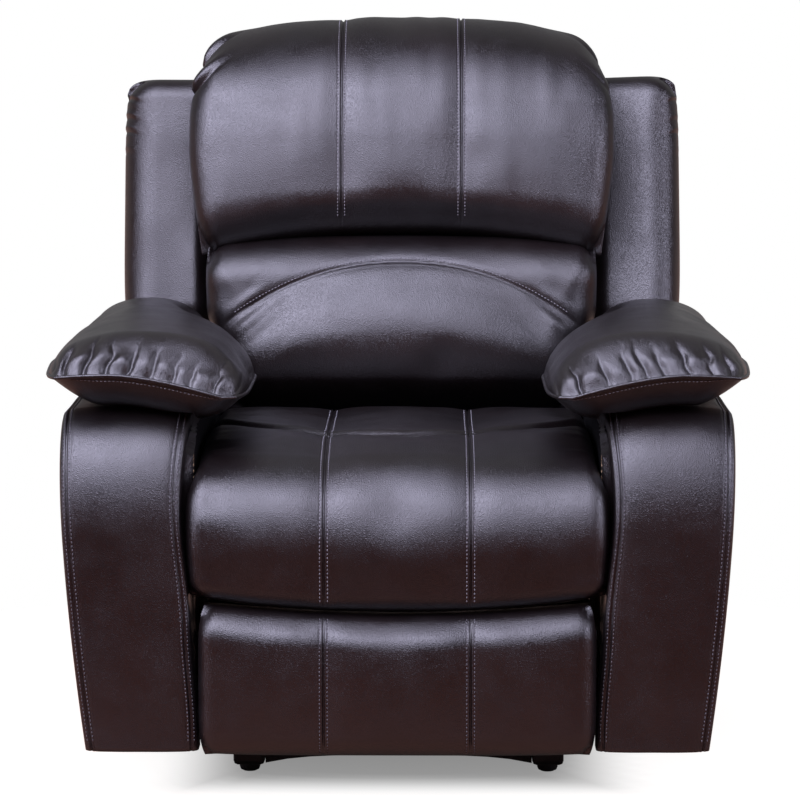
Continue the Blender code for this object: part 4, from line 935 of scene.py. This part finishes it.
def make_back_panel():
    narrow, wide = 0.2640, 0.4215
    low, step, high = -0.030, 0.265, 0.6083
    front, rear = 0.0853, 0.1053

    def shape(a, b, c):
        z = between(b, low, high)
        half = narrow + (wide - narrow) * ease((z - step + 0.010) / 0.050)
        x = half * a
        side, top, foot = half * (1 - np.abs(a)), high - z, z - low
        drop = edge_drop((side, 0.009), (top, 0.009), (foot, 0.009))
        inside = ease(side / 0.02) * ease(top / 0.02) * ease(foot / 0.02)
        crown = 0.006 * (1 - a * a) * (1 - b * b)
        ripple = 0.0009 * noise(x / 0.08, z / 0.10, 51)
        welt = 0.0022 * bell((np.minimum(np.minimum(side, top), foot) - 0.016) / 0.0025)
        lift = (crown + ripple + welt) * inside
        return back_frame(x, between(c, front, rear - drop + lift), z)

    across = places(2 * wide, 0.0080, (0, 0.03, 0.002), (2 * wide, 0.03, 0.002))
    up = places(high - low, 0.0070, (0, 0.03, 0.002), (high - low, 0.03, 0.002))
    padded_piece("outside_back", (across, up, np.linspace(-1, 1, 5)), shape, "back", "back_panel")


# Arms


def make_arm(side_name, sign):
    bottom, top = 0.072, 0.525
    front, rear = -0.440, 0.300
    nose, brow, tail = 0.100, 0.165, 0.020
    width_low, width_high = 0.146, 0.180
    seam_in, edge_radius = 0.0095, 0.013
    rise, level, fall = top - brow - bottom, rear - front - nose - tail, top - tail - bottom
    arc_front, arc_rear = (nose + brow) * math.pi / 4, tail * math.pi / 2
    runs = (rise, arc_front, level, arc_rear, fall)
    starts = np.cumsum((0, *runs))
    length = sum(runs)
    middle_y = (front + rear) / 2
    has_release = side_name == RELEASE_SIDE
    bezel_y, bezel_z = 0.104, 0.083

    def outline(s):
        """Up the front, round the nose, along the top and down the rear."""
        up, turn, on, dip, down = (np.clip(s - start, 0, run) for start, run in zip(starts, runs))
        turn, dip = turn / arc_front * math.pi / 2, dip / tail
        y = front + nose * (1 - np.cos(turn)) + on + tail * np.sin(dip)
        z = bottom + up + brow * np.sin(turn) - tail * (1 - np.cos(dip)) - down
        return y, z

    def inner_lean(y, z):
        """How far the front's inner edge stands out from the straight inner face."""
        leaning = 0.016 * bell((z - 0.41) / 0.12) - 0.007 * ease((0.23 - z) / 0.14)
        return leaning * ease((-0.391 + 0.085 * ease((z - 0.478) / 0.03) - y) / 0.014)

    def width(z):
        up = np.clip((z - bottom) / (top - bottom), 0, 1)
        return width_low + (width_high - width_low) * (1 - (1 - up) ** 1.8)

    def release_seat(y, z):
        """1 where the release's bezel lies on the outer face, and 0 away from it."""
        if not has_release:
            return 0 * y
        across = np.abs(y - RELEASE_Y) / bezel_y
        up = np.abs(z - RELEASE_Z) / bezel_z
        return 1 - ease(((across ** 4 + up ** 4) ** 0.25 - 0.68) / 0.46)

    def shape(a, b, c):
        s = between(b, 0, length)
        y, z = outline(s)
        depth = (1 + c) / 2
        y_here = middle_y + (y - middle_y) * depth
        z_here = bottom + (z - bottom) * depth
        lean = inner_lean(y_here, z_here)
        wide = width(z_here) - lean
        x = ARM_INNER + lean + wide * (a + 1) / 2
        side = wide / 2 * (1 - np.abs(a))
        distance = np.hypot(y - middle_y, z - bottom)
        drop = edge_drop((side, edge_radius))
        crown = 0.006 * (1 - a * a)
        seam = seam_dip(side - seam_in, 0.0016, 0.008)
        ripple = 0.0013 * noise(a * 2.1, s / 0.09, 61 + sign)
        skin, outer_side = c > AT_EDGE, a > AT_EDGE
        lift = (crown - seam + ripple) * ease(side / 0.006) * skin
        pull = (np.where(skin, drop, edge_radius * depth) - lift) / distance
        y_here = y_here - (y - middle_y) * pull
        z_here = np.maximum(z_here - (z - bottom) * pull, bottom)
        x = x + 0.0035 * (1 - c * c) * outer_side
        sunk = np.maximum(x - RELEASE_FACE, 0) * release_seat(y_here, z_here) * outer_side
        return np.stack([sign * (x - sunk), y_here, z_here], axis=1)

    across = places(0.16, 0.0048, (0, 0.022, 0.0013), (0.16, 0.022, 0.0013))
    along = places(length, 0.0052)
    inwards = np.concatenate(
        [np.linspace(-1, 0, 6), np.linspace(0.02, 0.62, 36), np.linspace(0.64, 0.94, 16), [0.97, 1.0]]
    )
    piece = f"arm_padding_{side_name}"
    arm = padded_piece(piece, (across, along, inwards), shape, "chassis", f"arm_cover_{side_name}")
    arm.data.materials.append(LINING)
    lining_front, lining_top = -0.375, 0.50
    for face in arm.data.polygons:
        hidden = face.center.y > lining_front and face.center.z < lining_top
        if hidden and sign * face.normal.x < -0.9:
            face.material_index = 1
    if has_release:
        open_for_release(arm)

    run = np.linspace(-0.985, 0.10, 300)
    y, z = outline(between(run, 0, length))
    wide = width(z) - inner_lean(y, z)
    lines = []
    for edge in (seam_in - ARM_STITCH_ROW, seam_in + ARM_STITCH_ROW):
        for end in (-1, 1):
            lines.append(surface_line(shape, end * (1 - 2 * edge / wide), run, STITCH_LIFT))
    stitches(f"arm_stitches_{side_name}", lines, "chassis", SHADED_THREAD)


def open_for_release(arm):
    """Cuts the leather away inside the bezel, so that the cup and its paddle show."""
    bm = bmesh.new()
    bm.from_mesh(arm.data)
    cut = []
    for face in bm.faces:
        place = face.calc_center_median()
        across = abs(place.y - RELEASE_Y) / (RELEASE_CUP[0] / 2)
        up = abs(place.z - RELEASE_Z) / (RELEASE_CUP[1] / 2)
        if abs(face.normal.x) > 0.8 and abs(place.x) > 0.40 and across ** 4 + up ** 4 < 1:
            cut.append(face)
    bmesh.ops.delete(bm, geom=cut, context="FACES")
    bm.to_mesh(arm.data)
    bm.free()


def make_arm_pillow(side_name, sign):
    low, front, rear = 0.5253, -0.430, 0.240
    inner, outer, arm_edge = 0.203, 0.4845, 0.272
    half_x, half_y = 0.141, 0.336
    top_level, under = 0.6330, 0.046
    random = np.random.RandomState(81 + sign)
    grooves = np.array([0.470, 0.447, 0.424, 0.389, 0.358, 0.330, 0.309, 0.282, 0.253, 0.222])
    grooves = np.sort(grooves + random.uniform(-0.007, 0.007, len(grooves)))
    tall = random.uniform(0.022, 0.052, len(grooves))
    strong = random.uniform(0.5, 1.15, len(grooves))

    def seam_level(x):
        """The seam is highest near the outer side and falls towards the sitter."""
        falling = 0.62 * np.maximum(0.385 - np.maximum(x, 0.235), 0) ** 1.6
        return 0.579 - falling - 0.006 * np.square(np.maximum(x - 0.385, 0) / 0.09)

    def plan(a, b):
        """The pillow's outline from above, narrower on the sitter's side beside the back."""
        a, b = a * (1 - 0.11 * b ** 10), b * (1 - 0.03 * a ** 6)
        y = between(b, front, rear)
        inner_edge = inner + (ARM_INNER + 0.004 - inner) * ease((y + 0.16) / 0.27)
        outer_edge = outer - 0.012 * ease((-0.15 - y) / 0.28) - 0.020 * ease((y + 0.20) / 0.35)
        return between(a, inner_edge, outer_edge), y

    def near_front(y):
        return ease((front + 0.10 - y) / 0.06)

    def gathers(x, y, height):
        """Bulges between the gathers of the front seam, which lean towards the sitter as they rise."""
        lean, sway = 0.40, 0.004
        place = x + lean * height + sway * noise(x / 0.02, height / 0.012, 91 + sign)
        index = np.clip(np.searchsorted(grooves, place) - 1, 0, len(grooves) - 2)
        wide = grooves[index + 1] - grooves[index]
        share = np.clip((place - grooves[index]) / wide, 0, 1)
        bulge = strong[index] * np.minimum(0.0076, 0.27 * wide) * np.sin(math.pi * share) ** 0.8
        away = np.minimum(share, 1 - share) * wide
        crease = 0.0054 * strong[index] * bell(away / 0.0042) * ease(height / 0.004)
        bulge = bulge + 0.0010 * noise(place / 0.007, height / 0.020, 95 + sign)
        fade = 1 - ease((height - 0.010) / tall[index])
        inside = ease((place - grooves[0]) / 0.006) * ease((grooves[-1] - place) / 0.006)
        return (bulge * ease(height / 0.022) - crease) * fade * inside * near_front(y)

    def shape(a, b, c):
        x, y = plan(a, b)
        edge = half_x * (1 - np.abs(a))
        ends = half_y * (1 - np.abs(b))
        full = (1 - np.abs(a) ** 2.2) ** 0.50 * rounding(ends, 0.070, 2.0) * (0.96 + 0.04 * (1 - b * b))
        seam = seam_level(x)
        ripple = 0.0014 * noise(x / 0.06, y / 0.08, 75 + sign) * full
        top = seam + (top_level - seam) * full
        tucked = rounding(edge, 0.075, 1.5) * rounding(ends, 0.075, 2.6)
        on_arm = np.where(x > arm_edge, low, 0)
        bottom = np.maximum(seam - under * tucked, on_arm)
        z = np.where(c > 0, top, bottom)
        height = np.abs(z - seam)
        dent = 0.0016 * bell((height - 0.0035) / 0.0020)
        lift = 0.7 * np.where(c > 0, gathers(x, y, height), -dent * near_front(y))
        return np.stack([sign * x, y - lift, z + np.where(c > 0, ripple + lift, 0)], axis=1)

    def crowded(count):
        """Places from -1 to 1 that crowd towards both ends."""
        return np.sin(np.linspace(-1, 1, count) * math.pi / 2)

    shape = filled(shape, crowded(40), crowded(70), 0.006)
    even = places(2 * half_x, 0.0017)
    across = np.sign(even) * (1 - (1 - np.abs(even)) ** 1.5)
    piece = f"arm_pillow_padding_{side_name}"
    grid = (across, crowded(190), TWO_FACES)
    padded_piece(piece, grid, shape, "chassis", f"arm_pillow_{side_name}")

    def rim_line(inset, face):
        """A line beside the seam, from the outer side round the front to the sitter's side."""
        end_a, end_b = 1 - inset / half_x, 1 - inset / half_y
        side = np.linspace(0.2, -end_b, 160)
        ahead = np.linspace(end_a, -end_a, 260)
        b = np.concatenate([side, np.full_like(ahead, -end_b), side[::-1]])
        a = np.concatenate([np.full_like(side, end_a), ahead, np.full_like(side, -end_a)])
        here = shape(a, b, np.full_like(a, face))
        down = np.full_like(a, -0.4 if face < 0 else 0)
        outward = unit(np.stack([sign * a ** 15, -np.abs(b) ** 15, down], axis=1))
        return here + 0.0006 * outward, outward

    stitches(f"arm_pillow_stitches_{side_name}", [rim_line(0.0050, -1)], "chassis")
    leather_cord(f"arm_pillow_piping_{side_name}", rim_line(0.0, 1), PIPING_RADIUS, "chassis")


# Rocker springs


def make_rocker_springs():
    wire, turns, steps = 0.00275, 5, 28
    for side_name, sign in SIDES:
        low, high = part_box(f"rocker_spring_{side_name}")
        middle = (low + high) / 2
        radius = (high.x - low.x) / 2 - wire
        angle = np.linspace(0, 2 * math.pi * turns, turns * steps + 1)
        outward = radius * np.stack([sign * np.cos(angle), np.sin(angle), 0 * angle], axis=1)
        line = outward + np.array([middle.x, middle.y, 0])
        line[:, 2] = np.linspace(low.z + wire, high.z - wire, len(angle))
        points, faces = tube_mesh(line, outward, wire, 10)
        spring = mesh_object(f"rocker_coil_{side_name}", points, faces, SPRING)
        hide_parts(f"rocker_spring_{side_name}")
        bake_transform(spring)


# Studio


def set_up(name, data, place, aim):
    """Stands a camera or a lamp at a place and turns it to what it aims at."""
    obj = add_object(name, data)
    obj.location = place
    obj.rotation_euler = (Vector(aim) - Vector(place)).to_track_quat("-Z", "Y").to_euler()
    return obj


def make_camera():
    data = bpy.data.cameras.new("photo_camera")
    data.sensor_width = 36.0
    data.lens = FOCAL_PIXELS / IMAGE_PIXELS * data.sensor_width
    azimuth = math.radians(CAMERA_AZIMUTH_DEG)
    x, y = CAMERA_DISTANCE * math.sin(azimuth), -CAMERA_DISTANCE * math.cos(azimuth)
    bpy.context.scene.camera = set_up("photo_camera", data, (x, y, CAMERA_HEIGHT), CAMERA_AIM)


def add_softbox(name, place, aim, size, power, colour):
    data = bpy.data.lights.new(name, "AREA")
    data.shape = "RECTANGLE"
    data.size, data.size_y = size
    data.energy = power
    data.color = colour
    set_up(name, data, place, aim)


def seen_by(tree):
    """Sockets that tell rays from the camera, and rays that were mirrored or let through."""
    rays = add_node(tree, "ShaderNodeLightPath").outputs
    mirrored = math_node(tree, "MAXIMUM", rays["Is Glossy Ray"], rays["Is Transmission Ray"])
    return rays["Is Camera Ray"], mirrored.outputs[0]


def make_world():
    """A white backdrop behind the chair, and a dim warm room on the camera's side of it."""
    world = bpy.data.worlds.new("studio")
    bpy.context.scene.world = world
    world.use_nodes = True
    tree = world.node_tree
    link = tree.links.new
    room = tree.nodes["Background"]
    room.inputs["Strength"].default_value = 1.0
    direction = add_node(tree, "ShaderNodeSeparateXYZ")
    link(add_node(tree, "ShaderNodeTexCoord").outputs["Generated"], direction.inputs[0])
    height = add_node(tree, "ShaderNodeMapRange", **{"From Min": -1.0})
    link(direction.outputs["Z"], height.inputs["Value"])
    tones = add_node(tree, "ShaderNodeValToRGB")
    stops = tones.color_ramp.elements
    below, brown, above = (0.030, 0.022, 0.022, 1), (0.38, 0.095, 0.042, 1), (0.030, 0.028, 0.036, 1)
    for place, colour in ((0.32, below), (0.39, brown), (0.47, brown)):
        stops.new(place).color = colour
    stops[0].color = below
    stops[-1].color = above
    stops[-1].position = 0.52
    link(height.outputs[0], tones.inputs[0])
    link(tones.outputs[0], room.inputs["Color"])
    backdrop = add_node(tree, "ShaderNodeBackground", Strength=1.0, Color=(1, 1, 1, 1))
    limits = {"From Min": 0.05, "From Max": 0.55, "To Max": 0.25}
    behind = add_node(tree, "ShaderNodeMapRange", interpolation_type="SMOOTHSTEP", **limits)
    link(direction.outputs["Y"], behind.inputs["Value"])
    to_camera, mirrored = seen_by(tree)
    seen = math_node(tree, "MULTIPLY_ADD", behind.outputs[0], mirrored, to_camera)
    seen.use_clamp = True
    mix = add_node(tree, "ShaderNodeMixShader")
    link(seen.outputs[0], mix.inputs[0])
    link(room.outputs[0], mix.inputs[1])
    link(backdrop.outputs[0], mix.inputs[2])
    link(mix.outputs[0], tree.nodes["World Output"].inputs["Surface"])


def make_floor():
    """A floor that glows white for the camera away from the chair: its own colour takes the lamps' real
    shadow, and its glow is lowered under the chair as painted shade.
    """
    material, tree, shader = new_material("pale_floor", (0.22, 0.080, 0.045), 0.8)
    link = tree.links.new
    glow = add_node(tree, "ShaderNodeEmission")
    floor_glow_with_painted_shade = add_node(tree, "ShaderNodeAttribute", attribute_name="floor_glow_with_painted_shade")
    to_camera, mirrored = seen_by(tree)
    part = math_node(tree, "MULTIPLY_ADD", mirrored, 0.06, to_camera)
    strength = math_node(tree, "MULTIPLY", floor_glow_with_painted_shade.outputs["Fac"], part.outputs[0])
    link(strength.outputs[0], glow.inputs["Strength"])
    both = add_node(tree, "ShaderNodeAddShader")
    link(shader.outputs[0], both.inputs[0])
    link(glow.outputs[0], both.inputs[1])
    link(both.outputs[0], tree.nodes["Material Output"].inputs["Surface"])

    rings, spokes = 40, 96
    reach_x, reach_y, middle_y = 1.25, 1.15, 0.20
    radius = np.linspace(0, 1, rings)
    angle = np.linspace(0, 2 * math.pi, spokes, endpoint=False)
    x = reach_x * np.outer(radius, np.cos(angle)).ravel()
    y = middle_y + reach_y * np.outer(radius, np.sin(angle)).ravel()
    points = np.stack([x, y, 0 * x], axis=1)
    index = np.arange(rings * spokes).reshape(rings, spokes)
    turned = np.roll(index, -1, axis=1)
    quads = np.stack([index[:-1], index[1:], turned[1:], turned[:-1]], axis=-1).reshape(-1, 4)
    floor = mesh_object("floor", points, quads, material, flat=True)
    x, y, _ = np.array([vertex.co for vertex in floor.data.vertices]).T
    # Painted shade: the floor's glow is lowered to a low level under the chair and rises to nearly full away
    # from it.
    painted_shade_under_chair, from_chair, at_rim = 0.26, 0.66, 0.08
    outside = np.maximum(np.abs(x), np.abs(y + 0.04)) - 0.20
    rim = np.hypot(x / reach_x, (y - middle_y) / reach_y)
    level = painted_shade_under_chair + from_chair * ease(outside / 0.15) + at_rim * ease((rim - 0.25) / 0.3)
    attribute = floor.data.attributes.new("floor_glow_with_painted_shade", "FLOAT", "POINT")
    attribute.data.foreach_set("value", level)


def make_studio():
    bpy.context.scene.view_settings.view_transform = "Standard"
    make_world()
    make_floor()
    aim = (0, 0, 0.6)
    tint = (0.78, 0.76, 1.0)
    add_softbox("key_softbox", (-0.45, -1.75, 2.85), (-0.1, 0, 1.25), (3.0, 3.0), 145, tint)
    add_softbox("left_key_softbox", (-1.55, -1.70, 2.75), (-0.1, 0, 1.1), (1.5, 2.2), 50, tint)
    add_softbox("left_softbox", (-2.55, -1.20, 1.6), aim, (1.3, 1.9), 40, tint)
    add_softbox("right_softbox", (2.55, -1.20, 1.6), aim, (1.3, 1.9), 42, tint)


def main():
    finish_nodes()
    make_camera()
    make_studio()
    make_seat()
    make_footrest()
    make_head_pillow()
    make_lumbar()
    make_back_panel()
    make_back_lining()
    make_gap_flap()
    for side_name, sign in SIDES:
        make_stile_cover(side_name, sign)
        make_wing(side_name, sign)
        make_arm(side_name, sign)
        make_arm_pillow(side_name, sign)
    make_rocker_springs()


main()
